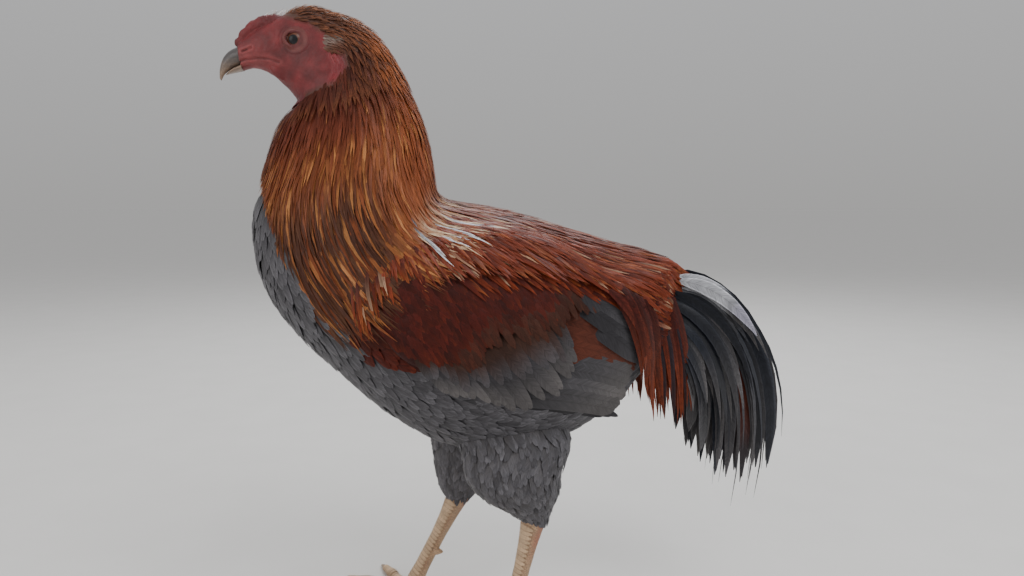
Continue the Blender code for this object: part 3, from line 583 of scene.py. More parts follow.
class NodeSheet(TreeWriter):
    """Short way to write a material's nodes."""

    def __init__(self, name: str) -> None:
        """Start a material with a shader and its output.

        Args:
            name: Name of the material.
        """
        self.material = bpy.data.materials.new(name)
        self.material.use_nodes = True
        super().__init__(self.material.node_tree)

    def finished(self, values: dict[str, object]) -> bpy.types.Material:
        """Put numbers or sockets on the shader's inputs, and return the material."""
        self.fill(self.tree.nodes["Principled BSDF"], values)
        return self.material

    def attribute(self, name: str, output: str = "Fac") -> Socket:
        """Socket that reads a named attribute of the mesh."""
        return self.add("ShaderNodeAttribute", attribute_name=name).outputs[output]

    def math(self, operation: str, first: object, second: object = 0.0) -> Socket:
        """Math node on sockets or numbers."""
        return self.add("ShaderNodeMath", first, second, operation=operation).outputs[0]

    def times(self, *values: object) -> Socket:
        """Product of sockets or numbers."""
        return reduce(partial(self.math, "MULTIPLY"), values)

    def span(self, value: object, low: float, high: float, first: float, last: float) -> Socket:
        """Map a value from low..high to first..last, held at the ends."""
        return self.add("ShaderNodeMapRange", value, low, high, first, last).outputs["Result"]

    def spread(self, cloud: Socket, first: float, last: float) -> Socket:
        """Map a noise value to first..last."""
        return self.span(cloud, NOISE_LOW, NOISE_HIGH, first, last)

    def combine(self, *values: object) -> Socket:
        """Vector from three values."""
        return self.add("ShaderNodeCombineXYZ", *values).outputs[0]

    def gained(self, tint: Socket, *gains: Socket) -> Socket:
        """Colour made lighter or darker by a product of gains."""
        gain = self.times(*gains)
        return self.mix(1.0, tint, self.combine(gain, gain, gain), "MULTIPLY")

    def noise(self, vector: Socket, scale: float, detail: float = 2.0) -> Socket:
        """Noise value at a vector."""
        node = self.add("ShaderNodeTexNoise", vector)
        return self.fill(node, {"Scale": scale, "Detail": detail}).outputs["Fac"]

    def bump(self, height: Socket, depth: float, strength: float, under: Socket | None = None) -> Socket:
        """Bump of a depth in metres from a height value, over another bump if there is one.

        Args:
            height: Socket of the height.
            depth: Depth of the bump in metres.
            strength: Strength of the bump.
            under: Bump to lie over, if there is one.

        Returns:
            Socket of the bumped direction.
        """
        values = {"Height": height, "Distance": depth, "Strength": strength}
        if under is not None:
            values["Normal"] = under
        return self.fill(self.add("ShaderNodeBump"), values).outputs["Normal"]

    def object_place(self) -> Socket:
        """Object coordinates."""
        return self.add("ShaderNodeTexCoord").outputs["Object"]


@dataclass(frozen=True)
class FeatherFinish:
    """Finish of one kind of feather.

    The vane's colour comes from the mesh. Barbs slant from the shaft to the edge, the edge may be
    laced paler or darker, and the shaft shows as a fine line. The pattern of barbs and that of
    clumps each have a scale along the vane, one across it, a shift between feathers and a detail.
    """

    name: str
    roughness: float = 0.55
    sheen: float = 0.0
    lace: float = 0.35
    lace_start: float = 0.62
    lace_gain: float = 1.7
    heart: float = 0.75
    barb_depth: float = 0.00010
    barb_contrast: float = 0.30
    coat: float = 0.0
    slant: float = 1.3
    shaft: float = 0.35
    barbs: tuple[float, ...] = (2600.0, 260.0, 37.0, 1.0)
    clumps: tuple[float, ...] = (420.0, 120.0, 91.0, 2.0)
    shaft_tint: tuple[float, ...] = (0.45, 0.42, 0.40, 1.0)

    def make(self) -> bpy.types.Material:
        """Build the material.

        Returns:
            The material, ready for its pieces.
        """
        sheet = NodeSheet(self.name)
        split = sheet.add("ShaderNodeSeparateXYZ", sheet.attribute("vane", "Vector"))
        across = sheet.math("ABSOLUTE", split.outputs["X"])
        edge = sheet.math("ABSOLUTE", sheet.attribute("across"))
        slant = sheet.math("SUBTRACT", split.outputs["Y"], sheet.times(across, self.slant))
        own = sheet.attribute("own")
        barbs, clumps = (
            sheet.noise(sheet.combine(sheet.times(slant, fine), sheet.times(across, wide),
                                      sheet.times(own, shift)), 1.0, detail)
            for fine, wide, shift, detail in (self.barbs, self.clumps))
        lit = sheet.gained(
            sheet.attribute("tint", "Color"),
            sheet.spread(barbs, 1.0 - self.barb_contrast, 1.0 + self.barb_contrast),
            sheet.spread(clumps, 0.80, 1.18), sheet.span(own, 0.0, 1.0, 0.80, 1.20),
            sheet.span(edge, 0.05, 0.5, self.heart, 1.0))
        laced = sheet.mix(1.0, lit, (*(self.lace_gain,) * 3, 1.0), "MULTIPLY")
        lace = sheet.times(sheet.span(edge, self.lace_start, 1.0, 0.0, 1.0), self.lace)
        shown = sheet.mix(lace, lit, laced)
        shaft = sheet.times(sheet.span(edge, 0.035, 0.09, 1.0, 0.0), self.shaft)
        return sheet.finished({
            "Base Color": sheet.mix(shaft, shown, sheet.mix(1.0, shown, self.shaft_tint, "MULTIPLY")),
            "Roughness": sheet.spread(clumps, self.roughness - 0.08, self.roughness + 0.08),
            "Normal": sheet.bump(barbs, self.barb_depth, 0.6, sheet.bump(clumps, 0.0004, 0.35)),
            "Sheen Weight": self.sheen, "Sheen Roughness": 0.4, "Specular IOR Level": 0.16,
            "Coat Weight": sheet.span(own, 0.55, 0.85, 0.0, 3.0 * self.coat), "Coat Roughness": 0.25,
        })


@dataclass(frozen=True)
class SkinFinish:
    """Finish of the skin: colour from the mesh, fine pores, folds and a slight moist gloss."""

    name: str
    roughness: float = 0.5
    pore_scale: float = 1500.0
    pore_depth: float = 0.00012
    scatter: float = 0.08

    def make(self) -> bpy.types.Material:
        """Build the material.

        Returns:
            The material, ready for its pieces.
        """
        sheet = NodeSheet(self.name)
        place = sheet.object_place()
        pores = sheet.noise(place, self.pore_scale, 3.0)
        blotch = sheet.noise(place, 160.0, 4.0)
        folds = sheet.noise(place, 520.0, 3.0)
        return sheet.finished({
            "Base Color": sheet.gained(sheet.attribute("tint", "Color"), sheet.spread(pores, 0.86, 1.12),
                                       sheet.spread(blotch, 0.80, 1.22)),
            "Roughness": sheet.spread(pores, self.roughness - 0.08, self.roughness + 0.1),
            "Normal": sheet.bump(pores, self.pore_depth, 0.7, sheet.bump(folds, 0.0004, 0.5)),
            "Subsurface Weight": self.scatter, "Subsurface Radius": (0.004, 0.0014, 0.001),
            "Specular IOR Level": 0.4,
        })


@dataclass(frozen=True)
class HornFinish:
    """Finish of beak and claws: dark ridge, buff edge and fine growth lines."""

    name: str
    dark: Triple = (0.072, 0.062, 0.060)
    pale: Triple = (0.26, 0.18, 0.125)
    low: float = 0.409
    high: float = 0.419
    roughness: float = 0.38
    line_scale: Triple = (300.0, 2400.0, 900.0)

    def make(self) -> bpy.types.Material:
        """Build the material.

        Returns:
            The material, ready for its pieces.
        """
        sheet = NodeSheet(self.name)
        place = sheet.object_place()
        split = sheet.add("ShaderNodeSeparateXYZ", place)
        cloud = sheet.noise(place, 320.0, 3.0)
        height = sheet.math("ADD", split.outputs["Z"], sheet.spread(cloud, -0.002, 0.002))
        streaks = sheet.fill(sheet.add("ShaderNodeMapping", place), {"Scale": self.line_scale})
        lines = sheet.noise(streaks.outputs["Vector"], 1.0, 2.0)
        share = sheet.span(height, self.low, self.high, 0.0, 1.0)
        shown = sheet.mix(share, (*self.pale, 1.0), (*self.dark, 1.0))
        return sheet.finished({
            "Base Color": sheet.gained(shown, sheet.spread(lines, 0.82, 1.15)),
            "Roughness": sheet.spread(cloud, self.roughness - 0.06, self.roughness + 0.12),
            "Normal": sheet.bump(lines, 0.00008, 0.6), "Coat Weight": 0.15,
        })


@dataclass(frozen=True)
class ScaleFinish:
    """Finish of the scaled leg: buff-yellow plates, darker seams between them and small round scales."""

    name: str
    base: Triple = (0.52, 0.345, 0.205)
    warm: Triple = (0.40, 0.150, 0.085)
    dirt: Triple = (0.17, 0.115, 0.075)
    scale_size: float = 620.0

    def make(self) -> bpy.types.Material:
        """Build the material.

        Returns:
            The material, ready for its pieces.
        """
        sheet = NodeSheet(self.name)
        place = sheet.object_place()
        cells = sheet.add("ShaderNodeTexVoronoi", place, feature="DISTANCE_TO_EDGE")
        sheet.fill(cells, {"Scale": self.scale_size})
        seams = sheet.span(cells.outputs["Distance"], 0.0, 0.16, 1.0, 0.0)
        cloud = sheet.noise(place, 90.0, 4.0)
        fine = sheet.noise(place, 900.0, 2.0)
        shown = sheet.mix(sheet.attribute("warmth"), (*self.base, 1.0), (*self.warm, 1.0))
        shown = sheet.gained(shown, sheet.spread(cloud, 0.82, 1.18), sheet.spread(fine, 0.92, 1.08))
        height = sheet.math("SUBTRACT", 1.0, seams)
        return sheet.finished({
            # The seams between the scales are darker.
            "Base Color": sheet.mix(sheet.times(seams, 0.55), shown, (*self.dirt, 1.0)),
            "Roughness": sheet.spread(fine, 0.42, 0.6),
            "Normal": sheet.bump(height, 0.00022, 0.8, sheet.bump(fine, 0.0001, 0.5)),
            "Subsurface Weight": 0.06, "Subsurface Radius": (0.003, 0.0015, 0.001),
        })


@dataclass(frozen=True)
class PlateFinish:
    """Finish of the plates down the leg: buff with a darker edge and fine grain."""

    name: str
    base: Triple = (0.56, 0.385, 0.235)
    edge: Triple = (0.30, 0.185, 0.11)

    def make(self) -> bpy.types.Material:
        """Build the material.

        Returns:
            The material, ready for its pieces.
        """
        sheet = NodeSheet(self.name)
        rim = sheet.math("ABSOLUTE", sheet.attribute("across"))
        cloud = sheet.noise(sheet.object_place(), 700.0, 3.0)
        shown = sheet.mix(sheet.span(rim, 0.55, 1.0, 0.0, 0.8), (*self.base, 1.0), (*self.edge, 1.0))
        own_gain = sheet.span(sheet.attribute("own"), 0.0, 1.0, 0.86, 1.1)
        return sheet.finished({
            "Base Color": sheet.gained(shown, sheet.spread(cloud, 0.84, 1.14), own_gain),
            "Roughness": sheet.spread(cloud, 0.36, 0.52),
            "Normal": sheet.bump(cloud, 0.00008, 0.5), "Specular IOR Level": 0.45,
        })


@dataclass(frozen=True)
class EyeFinish:
    """Finish of the eye: dark pupil, red-brown iris and darker rim, read from the mesh."""

    name: str
    pupil: Triple = (0.010, 0.011, 0.013)
    iris_dark: Triple = (0.105, 0.036, 0.022)
    iris_pale: Triple = (0.19, 0.075, 0.043)
    rim: Triple = (0.035, 0.014, 0.010)

    def make(self) -> bpy.types.Material:
        """Build the material.

        Returns:
            The material, ready for its pieces.
        """
        sheet = NodeSheet(self.name)
        away = sheet.attribute("away")
        rays = sheet.noise(sheet.object_place(), 1800.0, 3.0)
        iris = sheet.mix(sheet.spread(rays, 0.0, 1.0), (*self.iris_dark, 1.0), (*self.iris_pale, 1.0))
        rim = sheet.mix(sheet.span(away, 4.4, 5.4, 0.0, 1.0), iris, (*self.rim, 1.0))
        ring = sheet.mix(sheet.span(away, 2.9, 3.4, 0.0, 1.0), (*self.pupil, 1.0), rim)
        return sheet.finished({"Base Color": ring, "Roughness": 0.3, "Specular IOR Level": 0.3})


# Meshes


def link_object(name: str, content: bpy.types.ID) -> bpy.types.Object:
    """Put a mesh, camera or light in the scene as an object at the origin.

    Args:
        name: Name of the result.
        content: Mesh, camera or light.

    Returns:
        The new object.
    """
    item = bpy.data.objects.new(name, content)
    bpy.context.scene.collection.objects.link(item)
    return item


def to_metres(points: Array) -> Array:
    """Places in metres over the floor from places in millimetres."""
    return (np.asarray(points) - (0.0, 0.0, FLOOR)) * MM


def mesh_from(name: str, points: Array, faces: list[tuple[int, ...]]) -> Mesh:
    """Mesh with outward faces from points in millimetres.

    Args:
        name: Name of the result.
        points: Places in millimetres, one a row.
        faces: Corners of each face, by number.

    Returns:
        The new mesh.
    """
    mesh = bpy.data.meshes.new(name)
    mesh.from_pydata(to_metres(points).tolist(), [], faces)
    shape = bmesh.new()
    shape.from_mesh(mesh)
    bmesh.ops.recalc_face_normals(shape, faces=shape.faces)
    shape.to_mesh(mesh)
    shape.free()
    return mesh


def loft_faces(rings: int, sides: int) -> list[tuple[int, ...]]:
    """Faces of a closed loft through rings, with a cap at each end.

    Args:
        rings: Number of rings.
        sides: Number of points round.

    Returns:
        Corners of each face, by number.
    """
    faces: list[tuple[int, ...]] = [tuple(range(sides))]
    for row in range(rings - 1):
        for side in range(sides):
            following = (side + 1) % sides
            first = row * sides
            faces.append((first + side, first + following, first + sides + following, first + sides + side))
    faces.append(tuple(range((rings - 1) * sides, rings * sides)))
    return faces


def loft(name: str, rings: Array) -> Mesh:
    """Closed loft through an array of rings of points."""
    count, sides, _ = rings.shape
    return mesh_from(name, rings.reshape(-1, 3), loft_faces(count, sides))


def oval_rings(centres: Array, first: Array, second: Array, sides: int) -> Array:
    """Rings round centres, each spanned by two half axes.

    Args:
        centres: Centre of each ring.
        first: First half axis of each ring.
        second: Second half axis of each ring.
        sides: Number of points round.

    Returns:
        Points, one row a ring.
    """
    turns = ring_turns(sides)
    return (centres[:, None, :] + np.cos(turns)[None, :, None] * first[:, None, :]
            + np.sin(turns)[None, :, None] * second[:, None, :])


def evaluated(item: bpy.types.Object) -> Mesh:
    """New mesh of an object with its modifiers applied."""
    return bpy.data.meshes.new_from_object(item.evaluated_get(bpy.context.evaluated_depsgraph_get()))


def ball(name: str, centre: tuple[float, ...], half_sizes: tuple[float, ...], sides: int = 24,
         rows: int = 16, pitch: float = 0.0) -> Mesh:
    """Egg at a centre, tipped by pitch degrees round the Y axis.

    Args:
        name: Name of the result.
        centre: Centre in millimetres.
        half_sizes: Half sizes along X, Y and Z.
        sides: Number of points round.
        rows: Number of points from pole to pole.
        pitch: Turn round the Y axis, in degrees.

    Returns:
        The new mesh.
    """
    shape = bmesh.new()
    bmesh.ops.create_uvsphere(shape, u_segments=sides, v_segments=rows, radius=1.0)
    places = np.array([vertex.co for vertex in shape.verts]) * np.array(half_sizes)
    faces = [tuple(vertex.index for vertex in face.verts) for face in shape.faces]
    shape.free()
    cosine = math.cos(math.radians(pitch))
    sine = math.sin(math.radians(pitch))
    turned = np.stack([places[:, 0] * cosine + places[:, 2] * sine, places[:, 1],
                       places[:, 2] * cosine - places[:, 0] * sine], axis=-1)
    return mesh_from(name, turned + np.array(centre), faces)


def join_meshes(name: str, meshes: list[Mesh]) -> Mesh:
    """One mesh that holds several in order.

    Args:
        name: Name of the result.
        meshes: Meshes to join, which are removed.

    Returns:
        The joined mesh.
    """
    shape = bmesh.new()
    for mesh in meshes:
        shape.from_mesh(mesh)
    joined = bpy.data.meshes.new(name)
    shape.to_mesh(joined)
    shape.free()
    for mesh in meshes:
        bpy.data.meshes.remove(mesh)
    return joined


def remeshed(mesh: Mesh, voxel: float, smoothing: int) -> Mesh:
    """One skin round overlapping closed meshes, with voxels of a size in millimetres.

    Args:
        mesh: Mesh to work on.
        voxel: Size of the voxels in millimetres.
        smoothing: Number of rounds of smoothing.

    Returns:
        The new mesh.
    """
    item = link_object(mesh.name + "_raw", mesh)
    step = item.modifiers.new("voxels", "REMESH")
    step.mode = "VOXEL"
    step.voxel_size = voxel * MM
    relax = item.modifiers.new("relax", "SMOOTH")
    relax.iterations = smoothing
    relax.factor = 0.5
    result = evaluated(item)
    bpy.data.objects.remove(item)
    bpy.data.meshes.remove(mesh)
    return result


def mesh_points(mesh: Mesh) -> Array:
    """Places of a mesh's vertices in millimetres.

    Args:
        mesh: Mesh to work on.

    Returns:
        Places, one row a vertex.
    """
    flat = np.empty(len(mesh.vertices) * 3)
    mesh.vertices.foreach_get("co", flat)
    return flat.reshape(-1, 3) / MM + (0.0, 0.0, FLOOR)


def mesh_normals(mesh: Mesh) -> Array:
    """Outward directions at a mesh's vertices.

    Args:
        mesh: Mesh to work on.

    Returns:
        Directions of length one, one row a vertex.
    """
    flat = np.empty(len(mesh.vertices) * 3)
    mesh.vertex_normals.foreach_get("vector", flat)
    return flat.reshape(-1, 3)


def move_points(mesh: Mesh, places: Array) -> None:
    """Set the places of a mesh's vertices from millimetres."""
    mesh.vertices.foreach_set("co", to_metres(places).astype(np.float32).ravel())
    mesh.update()


def write_rows(mesh: Mesh, name: str, kind: str, rows: Array) -> None:
    """Store a number, vector or colour of a data type at each vertex.

    Args:
        mesh: Mesh to work on.
        name: Name of the attribute.
        kind: Data type of the attribute.
        rows: Values, one row a vertex.
    """
    layer = mesh.attributes.new(name, kind, "POINT")
    keys = {"FLOAT": "value", "FLOAT_VECTOR": "vector", "FLOAT_COLOR": "color"}
    layer.data.foreach_set(keys[kind], rows.astype(np.float32).ravel())


def write_colours(mesh: Mesh, tints: Array) -> None:
    """Store a colour at each vertex as the attribute tint."""
    write_rows(mesh, "tint", "FLOAT_COLOR", np.concatenate([tints, np.ones((len(tints), 1))], axis=1))


def dress(item: bpy.types.Object, materials: list[bpy.types.Material], *nodes: str) -> bpy.types.Object:
    """Give a piece its materials, make it ride on the body and stand for solids.

    Args:
        item: Piece to dress.
        materials: Its materials in order.
        nodes: Solids that it stands for, if any.

    Returns:
        The same piece.
    """
    item.data.materials.clear()
    for material in materials:
        item.data.materials.append(material)
    item.data.shade_smooth()
    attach(item, BODY_NAME)
    if nodes:
        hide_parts(*nodes)
    triangles = sum(len(face.vertices) - 2 for face in item.data.polygons)
    LOG.info("%s: %d triangles", item.name, triangles)
    return item


# Feathers


@dataclass
class Feathers:
    """Feathers of one piece: paths with outward directions, half widths and colours along each.

    Places and sizes are in millimetres. Every array starts with one row a feather, and the arrays
    of a path have one column a step from root to tip. Roots are places on the flat unwrap that the
    baked colours use, and without them each feather gets a place by its number.
    """

    paths: Array
    outs: Array
    reach: Array
    tints: Array
    roots: Array | None = None

    def pick(self, keep: Array) -> "Feathers":
        """The feathers for which keep is true."""
        return Feathers(**{name: rows[keep] for name, rows in vars(self).items() if rows is not None})

    def free_share(self, outline: Line) -> Array:
        """Share of each path that runs before it first enters an outline seen from the side.

        Args:
            outline: Corners of the outline in order.

        Returns:
            One share for each feather, 1 where it never enters.
        """
        steps = self.paths.shape[1]
        within = inside_outline(self.paths[..., 0], self.paths[..., 2], outline)
        first = np.where(within.any(axis=1), within.argmax(axis=1), steps)
        return np.minimum(first / (steps - 1.0), 1.0)

    @staticmethod
    def join(sets: list["Feathers"]) -> "Feathers":
        """One set from several whose paths have the same number of steps."""
        names = [name for name, rows in vars(sets[0]).items() if rows is not None]
        return Feathers(**{name: np.concatenate([getattr(one, name) for one in sets]) for name in names})


def path_steps(kind: str, count: int) -> Array:
    """Shares of a feather's length where its path has a point, closer towards a round end."""
    steps = np.linspace(0.0, 1.0, count)
    return np.sin(steps * math.pi / 2.0) if kind in ROUND_ENDS else steps


def vane_widths(kind: str, steps: Array, half_width: Array) -> Array:
    """Half widths along feathers of a pointed, rounded, blunt or hair form.

    Args:
        kind: Form of the vane.
        steps: Shares of the length where a path has a point.
        half_width: Greatest half width of each feather.

    Returns:
        Half widths, one row a feather and one column a step.
    """
    if kind in ROUND_ENDS:
        start = ROUND_ENDS[kind]
        beyond = np.clip((steps - start) / (1.0 - start), 0.0, 1.0)
        narrow = np.interp(steps, (0.0, 0.12, 0.4), (0.3, 0.8, 1.0))
        return half_width[:, None] * (narrow * np.sqrt(np.maximum(1.0 - beyond ** 2, 0.0016)))
    forms = {
        "pointed": ((0.0, 0.25), (0.12, 0.7), (0.35, 1.0), (0.65, 0.85), (0.85, 0.5), (1.0, 0.04)),
        "hair": ((0.0, 0.8), (0.3, 1.0), (0.7, 0.7), (1.0, 0.1)),
    }
    return half_width[:, None] * np.interp(steps, *zip(*forms[kind]))


def bezier(corners: tuple[Array, ...], step: Array | float) -> Array:
    """Points at a step of cubic curves, given the four control points of each.

    Args:
        corners: Start, both control points and end, one row a curve.
        step: Share of the way along.

    Returns:
        Points, one row a curve.
    """
    start, over, hang, end = corners
    rest = 1.0 - step
    return (start * rest ** 3 + over * 3.0 * rest * rest * step
            + hang * 3.0 * rest * step * step + end * step ** 3)


@dataclass
class VaneTree(TreeWriter):
    """Geometry Nodes tree that sweeps a thin closed vane section along every path of a piece."""

    camber: float = 0.22
    thickness: float = 0.07
    sharp_angle: float = 70.0
    tree: bpy.types.NodeTree = field(init=False)

    def __post_init__(self) -> None:
        """Build the tree with its named inputs."""
        self.tree = bpy.data.node_groups.new("vane_sweep", "GeometryNodeTree")
        face = self.tree.interface
        face.new_socket("Geometry", in_out="INPUT", socket_type="NodeSocketGeometry")
        for name, value in (("Camber", self.camber), ("Thickness", self.thickness), ("Patch", BAKE_PATCH)):
            face.new_socket(name, in_out="INPUT", socket_type="NodeSocketFloat").default_value = value
        face.new_socket("Finish", in_out="INPUT", socket_type="NodeSocketMaterial")
        face.new_socket("Geometry", in_out="OUTPUT", socket_type="NodeSocketGeometry")
        self.build()

    def named(self, name: str, kind: str) -> Socket:
        """Socket that reads a named attribute of a data type."""
        node = self.add("GeometryNodeInputNamedAttribute", data_type=kind)
        return self.fill(node, {"Name": name}).outputs["Attribute"]

    def store(self, geometry: Socket, name: str, kind: str, domain: str, value: Socket) -> Socket:
        """Store an attribute and pass the geometry on."""
        node = self.add("GeometryNodeStoreNamedAttribute", data_type=kind, domain=domain)
        return self.fill(node, {"Name": name, "Geometry": geometry, "Value": value}).outputs["Geometry"]

    def math(self, operation: str, *values: object) -> Socket:
        """Math on sockets and numbers."""
        return self.add("ShaderNodeMath", *values, operation=operation).outputs[0]

    def corner(self, *values: object) -> Socket:
        """Vector of two values, such as a corner of the section: up from the path and aside of it."""
        return self.add("ShaderNodeCombineXYZ", *values).outputs[0]

    def build(self) -> None:
        """Lay out and link the nodes."""
        start = self.add("NodeGroupInput").outputs
        curves = self.fill(self.add("GeometryNodeMeshToCurve"), {"Mesh": start["Geometry"]})
        normals = self.fill(self.add("GeometryNodeSetCurveNormal", mode="FREE"), {
            "Curve": curves.outputs["Curve"], "Normal": self.named("outward", "FLOAT_VECTOR")})
        under = self.math("SUBTRACT", start["Camber"], start["Thickness"])
        section = self.fill(self.add("GeometryNodeCurvePrimitiveQuadrilateral", mode="POINTS"), {
            "Point 1": self.corner(0.0, 1.0), "Point 2": self.corner(start["Camber"], 0.0),
            "Point 3": self.corner(0.0, -1.0), "Point 4": self.corner(under, 0.0)})
        split = self.add("ShaderNodeSeparateXYZ", self.add("GeometryNodeInputPosition").outputs[0])
        profile = self.store(section.outputs["Curve"], "across", "FLOAT", "POINT", split.outputs["Y"])
        sweep = self.fill(self.add("GeometryNodeCurveToMesh"), {
            "Curve": normals.outputs["Curve"], "Profile Curve": profile,
            "Scale": self.named("reach", "FLOAT"), "Fill Caps": True})
        across = self.named("across", "FLOAT")
        aside = self.math("MULTIPLY", across, self.named("reach", "FLOAT"))
        vane = self.corner(aside, self.named("gone", "FLOAT"))
        mesh = self.store(sweep.outputs["Mesh"], "vane", "FLOAT_VECTOR", "POINT", vane)
        spread = self.math("MULTIPLY", across, 0.5)
        rise = self.math("SUBTRACT", self.named("share", "FLOAT"), 0.5)
        patch = self.add("ShaderNodeVectorMath", self.corner(spread, rise), operation="SCALE")
        self.fill(patch, {"Scale": start["Patch"]})
        spot = self.add("ShaderNodeVectorMath", patch.outputs[0], self.named("root", "FLOAT_VECTOR"),
                        operation="ADD").outputs[0]
        mesh = self.store(mesh, "OFBake", "FLOAT2", "CORNER", spot)
        smooth = self.add("GeometryNodeSetShadeSmooth", mesh)
        real = self.add("GeometryNodeRealizeInstances", smooth.outputs[0])
        finish = self.fill(self.add("GeometryNodeSetMaterial"), {
            "Geometry": real.outputs[0], "Material": start["Finish"]})
        self.add("NodeGroupOutput", finish.outputs[0])

    def sweep(self, name: str, feathers: Feathers, finish: bpy.types.Material,
              camber: float | None = None, thickness: float | None = None) -> bpy.types.Object:
        """Sweep vanes along paths and make them a piece.

        Args:
            name: Name of the piece.
            feathers: Paths, widths and colours.
            finish: Material of the piece.
            camber: Height of the vane's ridge as a share of its half width.
            thickness: Thickness of the vane as a share of its half width.

        Returns:
            The piece, with the attributes that its finish reads.
        """
        count, steps, _ = feathers.paths.shape
        base = bpy.data.meshes.new(name)
        base.vertices.add(count * steps)
        base.vertices.foreach_set("co", to_metres(feathers.paths).astype(np.float32).ravel())
        first = (np.arange(count)[:, None] * steps + np.arange(steps - 1)[None, :]).ravel()
        base.edges.add(len(first))
        base.edges.foreach_set("vertices", np.stack([first, first + 1], axis=1).astype(np.int32).ravel())
        lengths = np.linalg.norm(np.diff(feathers.paths, axis=1), axis=-1)
        gone = np.concatenate([np.zeros((count, 1)), np.cumsum(lengths, axis=1)], axis=1)
        own = np.random.default_rng(SEED).random(count)
        roots = np.zeros((count, steps, 3))
        roots[..., :2] = (own_spots(count) if feathers.roots is None else feathers.roots)[:, None, :]
        write_rows(base, "outward", "FLOAT_VECTOR", feathers.outs)
        write_rows(base, "root", "FLOAT_VECTOR", roots)
        for key, rows in (("reach", feathers.reach * MM), ("gone", gone * MM), ("share", gone / gone[:, -1:]),
                          ("own", np.repeat(own, steps))):
            write_rows(base, key, "FLOAT", rows)
        write_colours(base, np.clip(feathers.tints, 0.002, 1.0).reshape(-1, 3))
        item = link_object(name, base)
        step = item.modifiers.new("vanes", "NODES")
        step.node_group = self.tree
        given = {"Finish": finish, "Camber": camber, "Thickness": thickness}
        for socket in self.tree.interface.items_tree:
            if socket.in_out == "INPUT" and given.get(socket.name) is not None:
                step[socket.identifier] = given[socket.name]
        bpy.context.view_layer.update()
        item.data = evaluated(item)
        item.modifiers.clear()
        bpy.data.meshes.remove(base)
        item.data.set_sharp_from_angle(angle=math.radians(self.sharp_angle))
        return dress(item, [finish])


@dataclass
class Lie:
    """How feathers lie on a form: each path runs down the form from its root and lifts off it.

    Attributes:
        form: Body or limb that carries the feathers.
        steps: Shares of the length where a path has a point.
        covers_wing: Whether paths rise over the folded wing.
        parts: Number of moves from one point to the next.
        droop: How steeply the paths fall once they are past the form's end.
        least_pace: Least distance that one station stands for, in millimetres.
        least_girth: Least distance that one radian stands for, in millimetres.
        end_room: Stations that are kept free at the form's end.
    """

    form: Form
    steps: Array
    covers_wing: bool = False
    parts: int = 3
    droop: float = -0.35
    least_pace: float = 6.0
    least_girth: float = 4.0
    end_room: float = 0.06

    def trace(self, station: Array, turn: Array, length: Array, heading: Array,
              lifts: Array) -> tuple[Array, Array]:
        """Paths over the form.

        Args:
            station: Where each root lies along the form.
            turn: Where each root lies round the form.
            length: Length of each feather.
            heading: Turn of its direction round the form, in radians.
            lifts: Height above the form, one row a feather and one column a step.

        Returns:
            Places and outward directions, one row a feather and one column a step.
        """
        station = station.astype(float).copy()
        turn = turn.astype(float).copy()
        paths = []
        outs = []
        beyond = np.zeros(len(station))
        gone = 0.0
        for column, step in enumerate(self.steps):
            for _ in range(self.parts if step > gone else 0):
                reach = (step - gone) * length / self.parts
                _, ahead, around, _ = self.form.local(station, turn)
                pace = np.maximum(np.linalg.norm(ahead, axis=-1), self.least_pace)
                moved = station + self.form.downwards * reach * np.cos(heading) / pace
                station, left = self.hold(moved)
                beyond += left * pace
                girth = np.maximum(np.linalg.norm(around, axis=-1), self.least_girth)
                turn += reach * np.sin(heading) / girth
            gone = step
            here, ahead, _, out = self.form.local(station, turn)
            lift = lifts[:, column].copy()
            if self.covers_wing:
                lift += WING.cover(here)
            fall = unit(unit(ahead) + np.array((0.0, 0.0, self.droop)))
            paths.append(here + out * lift[:, None] + fall * beyond[:, None])
            outs.append(out)
        return np.stack(paths, axis=1), np.stack(outs, axis=1)

    def hold(self, station: Array) -> tuple[Array, Array]:
        """Keep stations on the form, and say how far each would have run past its end.

        Args:
            station: Fractional numbers of slices along the form.

        Returns:
            Stations on the form, and what was cut off.
        """
        if self.form.downwards < 0.0:
            held = np.maximum(station, self.end_room)
            return held, held - station
        held = np.minimum(station, len(self.form.rows) - 1.0 - self.end_room)
        return held, station - held


